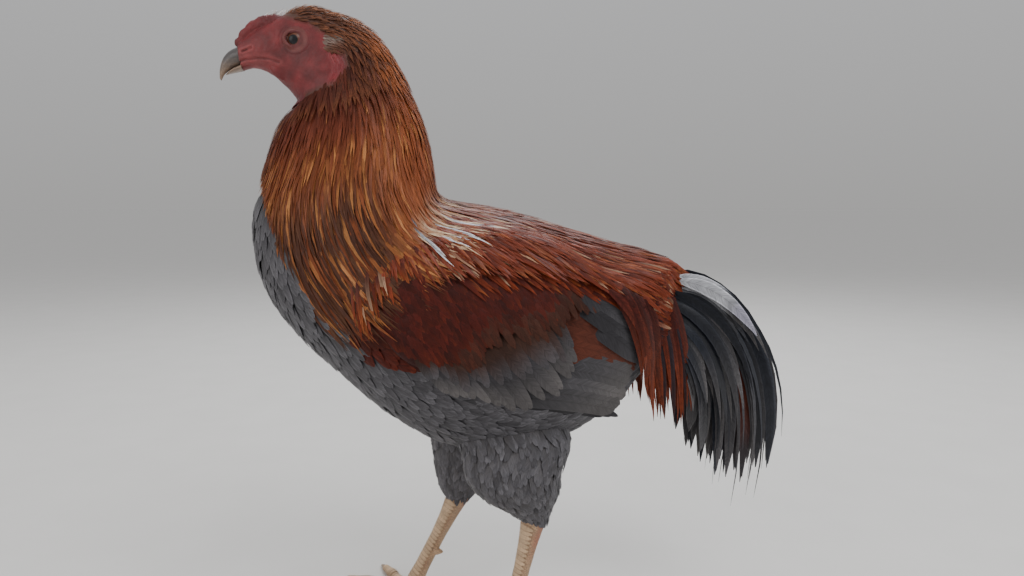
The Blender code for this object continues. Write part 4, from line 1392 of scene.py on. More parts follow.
def scatter_on(form: Form, low: float, high: float, spacing_along: float, spacing_round: float,
               draw: np.random.Generator, disorder: float = 0.32) -> tuple[Array, Array]:
    """Evenly spread roots on a form, in staggered rows with some disorder.

    Args:
        form: Form to cover.
        low: First station.
        high: Last station.
        spacing_along: Distance between rows in millimetres.
        spacing_round: Distance within a row.
        draw: Seeded source of chance.
        disorder: How far each strays from its place, as a share of the spacing.

    Returns:
        Stations and turns of the roots.
    """
    stations: list[Array] = []
    turns: list[Array] = []
    samples = np.linspace(low, high, PATH_SAMPLES)
    lines = [form.point(samples, np.full_like(samples, turn)) for turn in (math.pi / 2.0, math.pi, 0.0)]
    pace = sum(np.linalg.norm(np.diff(line, axis=0), axis=1) for line in lines) / len(lines)
    travelled = np.concatenate([[0.0], np.cumsum(pace)])
    rows = max(int(travelled[-1] / spacing_along), 1)
    for row in range(rows):
        station = float(np.interp((row + 0.5) * travelled[-1] / rows, travelled, samples))
        ring = form.point(np.full(RING_SAMPLES, station), ring_turns(RING_SAMPLES))
        girth = float(np.sum(np.linalg.norm(np.diff(ring, axis=0, append=ring[:1]), axis=1)))
        count = max(int(girth / spacing_round), 3)
        place = np.arange(count) + 0.5 * (row % 2) + draw.uniform(-disorder, disorder, count)
        pace_here = travelled[-1] / (high - low)
        stations.append(station + draw.uniform(-disorder, disorder, count) * spacing_along / pace_here)
        turns.append(place * math.tau / count)
    return np.clip(np.concatenate(stations), low, high), np.concatenate(turns) % math.tau


def body_spot(station: Array, turn: Array) -> Array:
    """Place of a root on the flat unwrap of a form, from 0 to 1."""
    shares = (turn % math.tau) / math.tau, station / (len(BODY.rows) - 1.0)
    return SPOT_EDGE + SPOT_SPAN * np.stack(shares, axis=-1)


def own_spots(count: int) -> Array:
    """A place of its own for each of a number of feathers on a flat unwrap, in rows by order.

    Args:
        count: Number of feathers.

    Returns:
        Places from 0 to 1, one row a feather.
    """
    columns = max(int(math.ceil(math.sqrt(count))), 1)
    index = np.arange(count)
    return SPOT_EDGE + SPOT_SPAN * np.stack([index % columns, index // columns], axis=-1) / columns


# Skin and head

FACE_OUTLINE = (
    (-206.0, 411.0), (-199.0, 416.0), (-195.0, 421.0), (-189.0, 427.5), (-180.0, 433.0), (-172.0, 432.0),
    (-168.0, 426.5), (-160.0, 423.0), (-151.0, 421.0), (-143.5, 415.5), (-134.0, 412.0), (-128.0, 402.0),
    (-125.0, 390.0), (-133.0, 381.0), (-153.5, 374.5),
    (-157.0, 364.0), (-170.0, 360.0), (-216.0, 372.0),
)
MOUTH_LINE = ((-202.0, 395.1), (-194.0, 397.6), (-186.0, 398.3), (-178.3, 397.7), (-171.7, 395.2))
NOSTRIL = ((-196.5, 403.1), (-193.2, 404.0), (-190.2, 405.0))
EYE_CENTRE = (-160.0, 12.4, 410.0)
EYE_RADIUS = 7.0
LOBE_FOLD = ((-133.5, 399.0), (-131.0, 393.0), (-131.5, 386.0), (-134.5, 380.0))
BREAST_WINDOW = (
    (-205.0, 322.0), (-184.0, 318.0), (-176.0, 292.0), (-167.0, 265.0), (-157.0, 241.0), (-146.0, 224.0),
    (-134.0, 210.0), (-146.0, 188.0), (-205.0, 240.0),
)
WING_WINDOW = (
    (-122.0, 212.0), (-113.0, 240.0), (-96.0, 261.0), (-48.0, 263.0), (10.0, 258.0), (44.0, 247.0),
    (66.0, 236.0), (78.0, 216.0), (83.0, 190.0), (79.0, 150.0), (30.0, 128.0), (-60.0, 150.0),
    (-122.0, 190.0),
)
CAPE_LIMIT = (
    (-22.0, 300.0), (-34.0, 280.0), (-50.0, 263.0), (-66.0, 254.0), (-78.0, 241.0), (-93.0, 226.0),
    (-110.0, 216.0), (-130.0, 210.0), (-140.0, 196.0), (90.0, 130.0), (90.0, 300.0),
)
# Shoulder patch of pale strands that stand for its shine: partly the cape's own pale tips, partly a painted
# highlight.
SHOULDER_GLINT = (-52.0, 283.0)
GLINT_RADIUS = 27.0
GLINT_X = (-88.0, -64.0)
GLINT_Z = 303.0
SHOULDER_PATCH = (
    (-140.0, 236.0), (-122.0, 238.0), (-100.0, 248.0), (-82.0, 262.0), (-60.0, 276.0), (-45.0, 262.0),
    (-60.0, 200.0), (-84.0, 194.0), (-104.0, 202.0), (-125.0, 210.0),
)


def cape_hem(turn: Array) -> Array:
    """Station of the cape's hem round the body."""
    return 4.9 + 3.0 * front_share(turn)


def coat_depth(station: Array, turn: Array) -> Array:
    """Depth of the plumage over the skin, in millimetres.

    Args:
        station: Fractional numbers of slices along the form.
        turn: Angles round the form, from its back line.

    Returns:
        One depth for each station and turn.
    """
    cape = 4.6 * ramp(station, cape_hem(turn) - 0.3, cape_hem(turn) + 0.6)
    bare = ramp(station, 14.6, 13.2)
    return np.maximum(2.8, cape) * bare


@dataclass
class Plumage:
    """Colours of the plumage, shared by the skin and the coat."""

    draw: np.random.Generator

    def hackle(self, paths: Array) -> Array:
        """Colours of hackle feathers along their paths, by place on the neck.

        Args:
            paths: Places in millimetres, one row a feather.

        Returns:
            Colours, one row a feather and one column a step.
        """
        count, steps, _ = paths.shape
        x, z = paths[..., 0], paths[..., 2]
        station, along = BODY.locate(x, z, 6.0, 16.0)
        chance = self.draw.random((count, 1))
        second = self.draw.random((count, 1))
        share = np.linspace(0.0, 1.0, steps)[None, :]
        streak = 0.12 + 0.6 * ramp(chance, 0.4, 1.0)
        glint = np.hypot(x - SHOULDER_GLINT[0], z - SHOULDER_GLINT[1]) / GLINT_RADIUS
        near = ramp(glint, 1.2, 0.55)
        return layered(
            blend(Shade.RUST, colour(Shade.RUST) * 0.8, second),
            (Shade.ORANGE, ramp(along, -0.1, 0.7) * (0.5 + 0.4 * chance)),
            (Shade.GOLD, ramp(station, 11.9, 10.4) * ramp(along, 0.9, 0.2) * ramp(share, 0.2, 0.8) * streak),
            (Shade.THROAT, 0.85 * ramp(station, 12.2, 13.6) * ramp(along, 0.3, -0.3)),
            (Shade.THROAT, 0.7 * ramp(station, 11.0, 12.8) * ramp(along, 0.95, 0.6)),
            (Shade.UMBER, 0.85 * ramp(station, 10.6, 9.2) * ramp(along, 0.6, 0.2) * (second < 0.7)),
            # Near the shoulder, pale blue-grey bases and pale gold tips: partly the cape's own pale tips,
            # partly a painted highlight.
            (Shade.SLATE_PALE, 0.8 * near * (second < 0.45) * ramp(share, 0.95, 0.7)),
            (Shade.PALE_GOLD, 0.6 * near * (chance > 0.5) * ramp(share, 0.55, 0.95)),
            (Shade.GOLD, 0.7 * (chance > 0.93) * ramp(station, 13.0, 11.5) * ramp(share, 0.3, 0.8)))

    def saddle(self, count: int) -> tuple[Array, Array]:
        """Root and tip colours of back and saddle feathers.

        Args:
            count: Number of feathers.

        Returns:
            Colours, one row a feather.
        """
        random = self.draw.random
        base = layered(Shade.MAHOGANY_DARK, (Shade.MAHOGANY, 0.4 + 0.6 * random(count)),
                       (Shade.FLAME, 0.4 * (random(count) > 0.6)))
        return base, layered(base, (Shade.FLAME, 0.35 + 0.6 * random(count)),
                             (Shade.ORANGE, 0.8 * (random(count) > 0.8)),
                             (Shade.PALE_GOLD, 0.4 * (random(count) > 0.96)))

    def bow(self, count: int) -> tuple[Array, Array]:
        """Root and tip colours of the wing bow."""
        base = blend(Shade.MAHOGANY_DARK, Shade.MAHOGANY, self.draw.random(count))
        return base, blend(base, Shade.FLAME, 0.08 + 0.22 * self.draw.random(count) ** 2)

    def slate(self, count: int, pale: float) -> tuple[Array, Array]:
        """Root and tip colours of grey body feathers."""
        base = blend(Shade.SLATE_DARK, Shade.SLATE, 0.4 + 0.6 * self.draw.random(count))
        return base, blend(base, Shade.SLATE_PALE, pale * (0.5 + self.draw.random(count)))

    def tail(self, count: int) -> tuple[Array, Array]:
        """Root and tip colours of tail feathers."""
        base = blend(Shade.BLACK, Shade.BLUE_BLACK, self.draw.random(count))
        return base, blend(base, Shade.ASH, 0.8 * self.draw.random(count))

    def ground(self, station: Array, turn: Array) -> Array:
        """Colour of the down under the body's feathers.

        Args:
            station: Fractional numbers of slices along the form.
            turn: Angles round the form, from its back line.

        Returns:
            One colour for each station and turn.
        """
        hem = cape_hem(turn)
        return layered(blend(Shade.MAHOGANY_DARK, Shade.THROAT, 0.5),
                       (Shade.SLATE_DARK, ramp(front_share(turn), 0.30, 0.42)),
                       (Shade.THROAT, ramp(station, hem + 0.2, hem + 1.0)))


def face_tint(points: Array) -> Array:
    """Colour of the head's skin at places in millimetres.

    Args:
        points: Places in millimetres, one a row.

    Returns:
        One colour for each place.
    """
    x = points[:, 0]
    z = points[:, 2]
    edge = outline_distance(x, z, FACE_OUTLINE[5:15])
    inside = inside_outline(x, z, FACE_OUTLINE)
    bare = np.where(inside, 0.5 + 0.5 * ramp(edge, 0.0, 2.5), 0.5 - 0.5 * ramp(edge, 0.0, 2.0))
    cloud = grain(points, 9.0)
    mouth, nostril, lobe, slit = (
        outline_distance(x, z, path) for path in (MOUTH_LINE, NOSTRIL, LOBE_FOLD, NOSTRIL[:2]))
    eye = np.hypot(x - EYE_CENTRE[0], z - EYE_CENTRE[2])
    skin = layered(
        Shade.CRIMSON,
        (Shade.CRIMSON_DARK, 0.28 + 0.5 * ramp(cloud, -0.5, 0.6)),
        (Shade.CRIMSON_PALE, 0.5 * ramp(mouth, 4.5, 1.0)),
        (Shade.CRIMSON_PALE, 0.7 * ramp(nostril, 3.4, 1.2)),
        (Shade.LOBE, 0.9 * ramp(lobe, 6.5, 2.0)),
        (Shade.CRIMSON_DARK, 0.45 * ramp(eye, 15.0, 10.0) * ramp(cloud, -0.6, 0.5)),
        (Shade.LID, 0.8 * ramp(eye, 9.2, 7.6)),
        # Dark ring round the eyeball inside the lids: painted shade in the eye's socket.
        (Shade.CRIMSON_DARK, 0.7 * ramp(eye, 6.3, 5.2)),
        (Shade.CRIMSON_PALE, 0.35 * ramp(x, -172.0, -190.0) * ramp(z, 412.0, 402.0)),
        # Dark lines in the mouth groove and the nostril slit: painted shade in these creases.
        (Shade.CRIMSON_DARK, 0.6 * ramp(mouth, 0.75, 0.2)),
        (Shade.CRIMSON_DARK, 0.8 * ramp(slit, 0.9, 0.3)),
        (Shade.CRIMSON_DARK, 0.5 * ramp(z, 384.0, 368.0)))
    return blend(blend(Shade.CROWN_DARK, Shade.CROWN, 0.5 + 0.5 * cloud), skin, bare)


@dataclass
class Skin:
    """One skin for the flesh: body, head, wing pads, thighs and the root of the tail."""

    plumage: Plumage
    sides: int = 88
    rings: int = 150
    head_voxel: float = 0.62
    comb_path: Line = (
        (-198.0, 410.8), (-193.5, 416.2), (-188.5, 420.0), (-183.0, 422.8), (-177.0, 424.4), (-170.5, 425.4))
    comb_radii: tuple[float, ...] = (3.9, 5.0, 5.9, 6.2, 5.6, 3.8)
    comb_shape: Triple = (1.35, 1.02, 0.9)
    lobe: Triple = (-130.5, 22.6, 389.5)
    lobe_half: Triple = (5.6, 3.4, 11.5)
    wattle: Triple = (-173.0, 8.5, 389.2)
    wattle_half: Triple = (7.0, 2.8, 3.2)
    lid_reach: Triple = (7.0, 5.2, 5.5)
    lid_aside: tuple[float, float] = (17.6, 1.1)
    lid_half: tuple[float, float] = (1.3, 1.25)
    lid_points: tuple[int, int] = (40, 12)

    def body_shell(self) -> Mesh:
        """Body from the tail root to the top of the neck, inside the coat.

        Returns:
            The mesh with its colours.
        """
        stations, turns = BODY.grid(self.rings, self.sides, 0.0, 14.9)
        inset = coat_depth(stations, turns) + 0.8 * ramp(stations, 14.0, 14.9)
        mesh = loft("body_shell", BODY.point(stations, turns, inset))
        write_colours(mesh, self.plumage.ground(stations.ravel(), turns.ravel()))
        return mesh

    def lid_ring(self, side: Side) -> Mesh:
        """Ring of both lids round one eye.

        Args:
            side: Side of the bird.

        Returns:
            The mesh.
        """
        ahead, above, below = self.lid_reach
        aside, slope = self.lid_aside
        width, depth = self.lid_half
        turns = ring_turns(self.lid_points[0])
        drop = np.where(np.sin(turns) > 0.0, above, below)
        centres = np.stack([EYE_CENTRE[0] + ahead * np.cos(turns),
                            side.value * (aside - slope * np.cos(turns)),
                            EYE_CENTRE[2] + drop * np.sin(turns)], axis=-1)
        away = np.stack([width * np.cos(turns), turns * 0.0, width * np.sin(turns)], axis=-1)
        across = np.tile((0.0, side.value * depth, 0.0), (len(turns), 1))
        rings = oval_rings(centres, away, across, self.lid_points[1])
        count, sides, _ = rings.shape
        faces = [(row * sides + step, row * sides + beside, after * sides + beside, after * sides + step)
                 for row, after in zip(range(count), (*range(1, count), 0))
                 for step, beside in zip(range(sides), (*range(1, sides), 0))]
        return mesh_from("lid_ring", rings.reshape(-1, 3), faces)

    def head_shell(self) -> Mesh:
        """Head with comb, lids, lobes, wattles, nostrils, mouth line and folds of skin.

        Returns:
            The mesh with its colours.
        """
        stations, turns = BODY.grid(64, 64, 13.3)
        parts = [loft("head_form", BODY.point(stations, turns, 1.6 * ramp(stations, 14.6, 13.3)))]
        for (x, z), radius in zip(self.comb_path, self.comb_radii):
            half = tuple(radius * size for size in self.comb_shape)
            parts.append(ball("comb", (x, 0.0, z), half, pitch=-25.0))
        for side in Side:
            parts.append(self.lid_ring(side))
            for name, (x, y, z), half, pitch in (("lobe", self.lobe, self.lobe_half, -14.0),
                                                 ("wattle", self.wattle, self.wattle_half, 42.0)):
                parts.append(ball(name, (x, y * side.value, z), half, pitch=pitch))
        mesh = remeshed(join_meshes("head_shell", parts), self.head_voxel, 5)
        places = mesh_points(mesh)
        move_points(mesh, places + mesh_normals(mesh) * self.relief(places)[:, None])
        write_colours(mesh, face_tint(mesh_points(mesh)))
        return mesh

    def relief(self, places: Array) -> Array:
        """How far the skin stands out or in at places of the head, in millimetres.

        Args:
            places: Places in millimetres, one a row.

        Returns:
            One height for each place.
        """
        x = places[:, 0]
        y = np.abs(places[:, 1])
        z = places[:, 2]
        bare = inside_outline(x, z, FACE_OUTLINE).astype(float)
        folds = 0.22 * grain(places, 3.4) + 0.10 * grain(places, 1.5, 7.0)
        eye = np.hypot(x - EYE_CENTRE[0], z - EYE_CENTRE[2])
        rings = 0.22 * np.cos((eye - 9.2) * 2.4) * ramp(eye, 13.0, 9.5) * ramp(eye, 8.4, 9.0)
        comb = ramp(z - (0.42 * (x + 172.0) + 424.0), -3.0, 1.0) * ramp(x, -166.0, -172.0)
        bumps = 0.55 * comb * np.abs(grain(places, 2.6, 3.0))
        mouth = outline_distance(x, z, MOUTH_LINE)
        groove = -0.75 * ramp(mouth, 1.1, 0.1) + 0.22 * ramp(mouth, 3.2, 1.5) * ramp(mouth, 0.8, 1.5)
        nostril = outline_distance(x, z, NOSTRIL)
        slit = -1.1 * ramp(nostril, 1.0, 0.2) + 0.4 * ramp(nostril, 3.0, 1.6) * ramp(nostril, 0.9, 1.5)
        lobe = outline_distance(x, z, LOBE_FOLD)
        crease = 0.5 * np.cos(lobe * 1.9) * ramp(lobe, 6.0, 2.0)
        aside = ramp(y, 2.5, 4.5)
        return bare * (folds + rings + bumps + aside * (groove + slit + crease))

    def wing_pad(self, side: Side) -> Mesh:
        """Flesh and down of the folded wing, under its feathers.

        Args:
            side: Side of the bird.

        Returns:
            The mesh with its colours.
        """
        columns = np.linspace(0.02, 0.98, 40)
        heights = np.linspace(0.03, 0.97, 18)
        grid_c, grid_h = np.meshgrid(columns, heights, indexing="ij")
        top, low = WING.edges(grid_c)
        places = low + (top - low) * grid_h[..., None]
        bulge = np.sqrt(np.sin(math.pi * grid_h)) * (1.0 - 0.5 * grid_c) * np.minimum(1.0, 0.3 + 3.0 * grid_c)
        inner = WING.surface(places[..., 0], places[..., 1], side, -4.0)
        outer = WING.surface(places[..., 0], places[..., 1], side, 4.3 * bulge)
        rings = np.concatenate([inner, outer[:, ::-1]], axis=1)
        mesh = loft("wing_pad", rings)
        x, _, z = mesh_points(mesh).T
        edge = np.interp(x, (-80.0, -40.0), (188.0, 206.0))
        tint = blend(Shade.MAHOGANY_DARK, Shade.SLATE_DARK, ramp(z - edge, 6.0, -6.0))
        write_colours(mesh, tint)
        return mesh

    def core(self, name: str, form: Form, rings: int, sides: int, inset: float, shade: Shade) -> Mesh:
        """Whole form of one colour, inside its feathers.

        Args:
            name: Name of the result.
            form: Form to make.
            rings: Number of rings.
            sides: Number of points round.
            inset: How far the points lie inside the surface.
            shade: Colour of the result.

        Returns:
            The mesh with its colour.
        """
        mesh = loft(name, form.point(*form.grid(rings, sides), inset))
        write_colours(mesh, np.tile(colour(shade), (len(mesh.vertices), 1)))
        return mesh

    def build(self) -> bpy.types.Object:
        """Make the skin and let it stand for the solids of flesh.

        Returns:
            The piece.
        """
        shells = [self.body_shell(), self.core("tail_shell", TAIL_CORE, 24, 36, 1.5, Shade.BLACK)]
        for side in Side:
            shells.append(self.wing_pad(side))
            shells.append(self.core("thigh_shell", THIGHS[side], 36, 40, 1.2, Shade.SLATE_DARK))
        down_count = sum(len(mesh.polygons) for mesh in shells)
        shells.append(self.head_shell())
        item = link_object("skin", join_meshes("skin", shells))
        down = SkinFinish("down", roughness=0.85, pore_scale=900.0, pore_depth=0.0003, scatter=0.0).make()
        face = SkinFinish("face_skin").make()
        nodes = ["torso", "breast", "neck", "head", "tail"]
        for side in Side:
            nodes += [f"wing_{side.label}", f"thigh_{side.label}"]
        dress(item, [down, face], *nodes)
        numbers = np.zeros(len(item.data.polygons), dtype=np.int32)
        numbers[down_count:] = 1
        item.data.polygons.foreach_set("material_index", numbers)
        return item


@dataclass
class HeadParts:
    """Eyes and beak, which stay apart from the skin."""

    pupil: tuple[float, float] = (-1.0, -0.3)

    def eye(self, side: Side) -> bpy.types.Object:
        """Eyeball with pupil and iris.

        Args:
            side: Side of the bird.

        Returns:
            The piece.
        """
        centre = (EYE_CENTRE[0], EYE_CENTRE[1] * side.value, EYE_CENTRE[2])
        mesh = ball("eye", centre, (EYE_RADIUS,) * 3, 48, 32)
        places = mesh_points(mesh) - np.array(centre)
        away = np.hypot(places[:, 0] - self.pupil[0], places[:, 2] - self.pupil[1])
        away[places[:, 1] * side.value < 0.0] = EYE_RADIUS
        write_rows(mesh, "away", "FLOAT", away)
        name = f"eye_{side.label}"
        return dress(link_object(f"eyeball_{side.label}", mesh), [EyeFinish(name).make()], name)

    def beak(self, name: str, form: SlicedForm, finish: HornFinish) -> bpy.types.Object:
        """One half of the beak."""
        item = link_object(f"{name}_horn", loft(name, form.point(*form.grid(40, 40))))
        return dress(item, [finish.make()], name)

    def build(self) -> None:
        """Make the eyes and both halves of the beak."""
        for side in Side:
            self.eye(side)
        self.beak("beak_upper", UPPER_BEAK, HornFinish("upper_horn"))
        pale_horn = HornFinish("lower_horn", dark=(0.25, 0.17, 0.12), low=0.408, high=0.416)
        self.beak("beak_lower", LOWER_BEAK, pale_horn)


# Coat


@dataclass
class Coat:
    """Feathers of the body, each kind in a piece of its own.

    A lift holds the height of root and tip over the form, and the disorder between feathers. Lengths
    and widths are given by station, and widths are half widths.
    """

    tree: VaneTree
    plumage: Plumage
    draw: np.random.Generator
    slate_lift: Triple = (-3.4, 0.8, 0.5)
    slate_spacing: tuple[float, float] = (5.4, 5.0)
    slate_length: Triple = (20.0, 5.0, 5.0)
    slate_widths: tuple[float, float] = (3.5, 4.5)
    hackle_lift: Triple = (-4.6, 1.3, 0.45)
    hackle_lengths: Line = (
        (9.5, 104.0), (10.2, 102.0), (11.1, 92.0), (12.1, 74.0), (13.1, 56.0), (14.6, 36.0))
    hackle_widths: Line = ((9.5, 1.9), (12.0, 1.5), (14.8, 1.1))
    hackle_shares: tuple[float, ...] = (0.76, 1.2, 1.1, 0.95)
    hackle_least: float = 16.0
    glint_count: int = 80
    glint_lift: Triple = (-1.5, 2.4, 0.6)
    glint_lengths: tuple[float, float] = (26.0, 52.0)
    glint_widths: tuple[float, float] = (0.6, 1.2)
    glint_headings: tuple[float, float] = (0.05, 0.45)
    nape_lift: Triple = (-1.4, 1.6, 0.6)
    nape_spacing: tuple[float, float] = (2.4, 1.8)
    nape_lengths: Line = ((13.4, 24.0), (15.0, 14.0), (19.4, 6.5))
    nape_widths: Line = ((13.4, 1.2), (15.0, 0.9), (19.4, 0.7))
    saddle_lift: Triple = (-3.6, 1.6, 1.1)
    saddle_spacing: tuple[float, float] = (4.2, 2.5)
    saddle_lengths: Line = ((0.4, 44.0), (2.0, 56.0), (7.4, 44.0))
    saddle_widths: tuple[float, float] = (1.2, 2.0)
    saddle_least: float = 22.0
    saddle_turn: float = 36.0
    thigh_lift: Triple = (-1.8, 1.5, 0.8)
    thigh_spacing: tuple[float, float] = (3.4, 3.0)
    thigh_lengths: Line = ((0.0, 19.0), (3.5, 14.0), (5.0, 8.0))
    thigh_widths: Line = ((0.0, 2.6), (3.5, 2.2), (5.0, 1.5))
    curtain_count: int = 62
    curtain_widths: tuple[float, float] = (1.8, 3.1)
    curtain_tips: Line = ((80.0, 176.0), (90.0, 152.0), (102.0, 141.0), (116.0, 140.0))
    trial_points: int = 17

    def grow(self, form: Form, station: Array, turn: Array, half_width: Array, lift: Triple, kind: str,
             tints: tuple[Array, Array] | None, heading: Array, length: Array, count: int,
             covers_wing: bool = False) -> Feathers:
        """Feathers of one kind on a form.

        Args:
            form: What they grow on.
            station: Where each root lies along the form.
            turn: Where each root lies round the form.
            half_width: Greatest half width of each.
            lift: Height of root and tip over the form, and disorder between feathers.
            kind: Outline of the vane.
            tints: Root and tip colours, or none where the colour follows the place.
            heading: Turn of the direction round the form.
            length: Length of each.
            count: Points along each path.
            covers_wing: Whether they rise over the wing.

        Returns:
            The feathers.
        """
        steps = path_steps(kind, count)
        total = len(station)
        tip = lift[1] + lift[2] * self.draw.uniform(-1.0, 1.0, total)
        layer = 0.6 * lift[2] * self.draw.normal(0.0, 1.0, total)
        curve = steps ** 0.7
        lifts = lift[0] + (tip[:, None] - lift[0]) * curve + layer[:, None] * np.sin(math.pi * steps)
        paths, outs = Lie(form, steps, covers_wing).trace(station, turn, length, heading, lifts)
        if tints is None:
            mixed = self.plumage.hackle(paths)
        else:
            mixed = blend(tints[0][:, None], tints[1][:, None], ramp(steps, 0.35, 1.0))
        return Feathers(paths, outs, vane_widths(kind, steps, half_width), mixed, body_spot(station, turn))

    def body_feathers(self) -> None:
        """Small rounded feathers of breast, belly, flanks and rump."""
        finish = FeatherFinish("slate_feather", roughness=0.62, sheen=0.14, lace=0.45, lace_start=0.60,
                               lace_gain=1.6, heart=0.85, slant=2.2, shaft=0.2).make()
        for name, low, high in (("belly_feathers", 0.3, 5.2), ("breast_feathers", 5.2, 12.0)):
            station, turn = scatter_on(BODY, low, high, *self.slate_spacing, self.draw)
            places = BODY.point(station, turn)
            front = front_share(turn)
            hidden = (WING.cover(places) > 11.0) & (front < 0.70)
            capped = station > cape_hem(turn) + 1.0
            bare = inside_outline(places[:, 0] - 7.0, places[:, 2] + 6.0, BREAST_WINDOW)
            shoulder = inside_outline(places[:, 0], places[:, 2], SHOULDER_PATCH)
            keep = (front > 0.30) & ~hidden & (~capped | bare | shoulder)
            station, turn, shoulder = station[keep], turn[keep], shoulder[keep]
            total = len(station)
            least, spread, gain = self.slate_length
            length = least + spread * self.draw.random(total) + gain * ramp(station, 4.0, 1.0)
            half_width = self.draw.uniform(*self.slate_widths, total)
            grey = self.plumage.slate(total, 0.35)
            tints = tuple(blend(tone, red, shoulder) for tone, red in zip(grey, self.plumage.bow(total)))
            feathers = self.grow(BODY, station, turn, half_width, self.slate_lift, "rounded", tints,
                                 self.draw.normal(0.0, 0.10, total), length, 6)
            self.tree.sweep(name, feathers, finish, 0.24)

    def hackle(self) -> None:
        """Long pointed hackle of neck and cape."""
        finish = FeatherFinish("hackle_feather", lace=0.2, lace_start=0.45, lace_gain=1.3, heart=0.95,
                               barb_contrast=0.28, coat=0.05, slant=3.6, shaft=0.08).make()
        for name, *spread in (("cape", 9.4, 11.4, 4.0, 2.4), ("hackle", 11.4, 14.8, 3.2, 1.8)):
            station, turn = scatter_on(BODY, *spread, self.draw)
            total = len(station)
            from_back = 1.0 - np.abs(1.0 - turn / math.pi)
            share = np.interp(from_back, np.linspace(0.0, 1.0, len(self.hackle_shares)), self.hackle_shares)
            share = share - 0.2 * (1.0 - from_back) * ramp(station, 11.0, 12.2)
            length = read_line(self.hackle_lengths, station) * share * self.draw.uniform(0.80, 1.10, total)
            half_width = read_line(self.hackle_widths, station) * self.draw.uniform(0.8, 1.15, total)
            heading = self.draw.normal(0.0, 0.06, total)
            over = partial(self.grow, BODY, station, turn, half_width, self.hackle_lift, "pointed", None,
                           heading, covers_wing=True)
            trial = over(length, self.trial_points)
            free = np.minimum(trial.free_share(BREAST_WINDOW), trial.free_share(CAPE_LIMIT))
            length = length * np.where(free < 1.0, free * self.draw.uniform(0.86, 1.04, total), 1.0)
            self.tree.sweep(name, over(length, 8).pick(length > self.hackle_least), finish, 0.12)

    def glints(self) -> None:
        """Fine pale strands from the neck's back over the shoulder: partly pale tips, partly painted
        highlight.
        """
        total = self.glint_count
        x = self.draw.uniform(*GLINT_X, total)
        z = GLINT_Z - 0.35 * (x - GLINT_X[0]) + self.draw.uniform(-9.0, 9.0, total)
        station, along = BODY.locate(x, z, 6.0, 12.0)
        aside = np.where(self.draw.random(total) < 0.5, 1.0, -1.0)
        turn = np.mod(aside * np.arccos(np.clip(along, -0.9, 0.98)), math.tau)
        length = self.draw.uniform(*self.glint_lengths, total)
        heading = aside * self.draw.uniform(*self.glint_headings, total)
        # Silver and pale gold strands: a painted highlight over the cape's own pale tips.
        silver = self.draw.random(total) < 0.4
        tints = blend(Shade.ORANGE, Shade.SLATE_PALE, silver), blend(Shade.PALE_GOLD, Shade.SILVER, silver)
        half_width = self.draw.uniform(*self.glint_widths, total)
        feathers = self.grow(BODY, station, turn, half_width, self.glint_lift, "pointed", tints, heading,
                             length, 8, True)
        finish = FeatherFinish("glint_feather", roughness=0.45, lace=0.3, lace_start=0.5, lace_gain=1.3,
                               heart=0.9, coat=0.1, shaft=0.1).make()
        self.tree.sweep("cape_glints", feathers, finish, 0.2)

    def nape(self) -> None:
        """Short feathers of crown, nape and throat, down to where the hackle begins."""
        station, turn = scatter_on(BODY, 13.4, 19.4, *self.nape_spacing, self.draw)
        places = BODY.point(station, turn)
        bare = inside_outline(places[:, 0], places[:, 2], FACE_OUTLINE)
        ahead = (places[:, 0] < -170.0) & (places[:, 2] > 395.0)
        keep = ~bare & ~ahead
        station, turn, places = station[keep], turn[keep], places[keep]
        total = len(station)
        front = front_share(turn)
        length = read_line(self.nape_lengths, station) * self.draw.uniform(0.8, 1.15, total)
        half_width = read_line(self.nape_widths, station) * self.draw.uniform(0.8, 1.15, total)
        chance = self.draw.random(total)
        behind_ear = np.hypot(places[:, 0] + 122.0, places[:, 2] - 398.0)
        base = layered(
            Shade.CROWN_DARK,
            (Shade.CROWN, chance),
            (colour(Shade.CROWN_DARK) * 0.6, ramp(behind_ear, 13.0, 6.0)),
            (Shade.CROWN_ORANGE, 0.9 * ramp(front, 0.12, 0.02) * ramp(chance, 0.05, 0.45)),
            (Shade.THROAT, 0.9 * ramp(front, 0.45, 0.7)),
            (Shade.THROAT, 0.6 * ramp(station, 15.2, 14.0) * ramp(front, 0.12, 0.3)),
            (Shade.ORANGE, 0.85 * ramp(front, 0.26, 0.10) * ramp(station, 16.0, 14.2) * (chance > 0.25)))
        feathers = self.grow(BODY, station, turn, half_width, self.nape_lift, "pointed",
                             (base, blend(base, Shade.CROWN_ORANGE, 0.3)),
                             self.draw.normal(0.0, 0.16, total), length, 5)
        finish = FeatherFinish("nape_feather", roughness=0.7, lace=0.3, lace_start=0.55, lace_gain=1.4,
                               heart=0.9).make()
        self.tree.sweep("nape", feathers, finish, 0.22, 0.1)

    def saddle(self) -> None:
        """Pointed feathers of back and saddle, clear of the folded wing."""
        station, turn = scatter_on(BODY, 0.3, 8.2, *self.saddle_spacing, self.draw)
        keep = front_share(turn) < 0.52
        station, turn = station[keep], turn[keep]
        total = len(station)
        length = read_line(self.saddle_lengths, station) * self.draw.uniform(0.75, 1.1, total)
        half_width = self.draw.uniform(*self.saddle_widths, total)
        aside = np.where(turn < math.pi, 1.0, -1.0) * np.sin(np.minimum(turn, math.tau - turn))
        heading = math.radians(self.saddle_turn) * aside + self.draw.normal(0.0, 0.07, total)
        tints = self.plumage.saddle(total)
        over = partial(self.grow, BODY, station, turn, half_width, self.saddle_lift, "pointed", tints,
                       heading, covers_wing=True)
        free = over(length, self.trial_points).free_share(WING_WINDOW)
        length = length * np.where(free < 1.0, free + self.draw.uniform(-0.06, 0.34, total), 1.0)
        finish = FeatherFinish("saddle_feather", roughness=0.5, lace_start=0.5, lace_gain=1.4, heart=0.85,
                               barb_contrast=0.35, coat=0.10, slant=3.2, shaft=0.15).make()
        self.tree.sweep("saddle", over(length, 7).pick(length >= self.saddle_least), finish, 0.2)

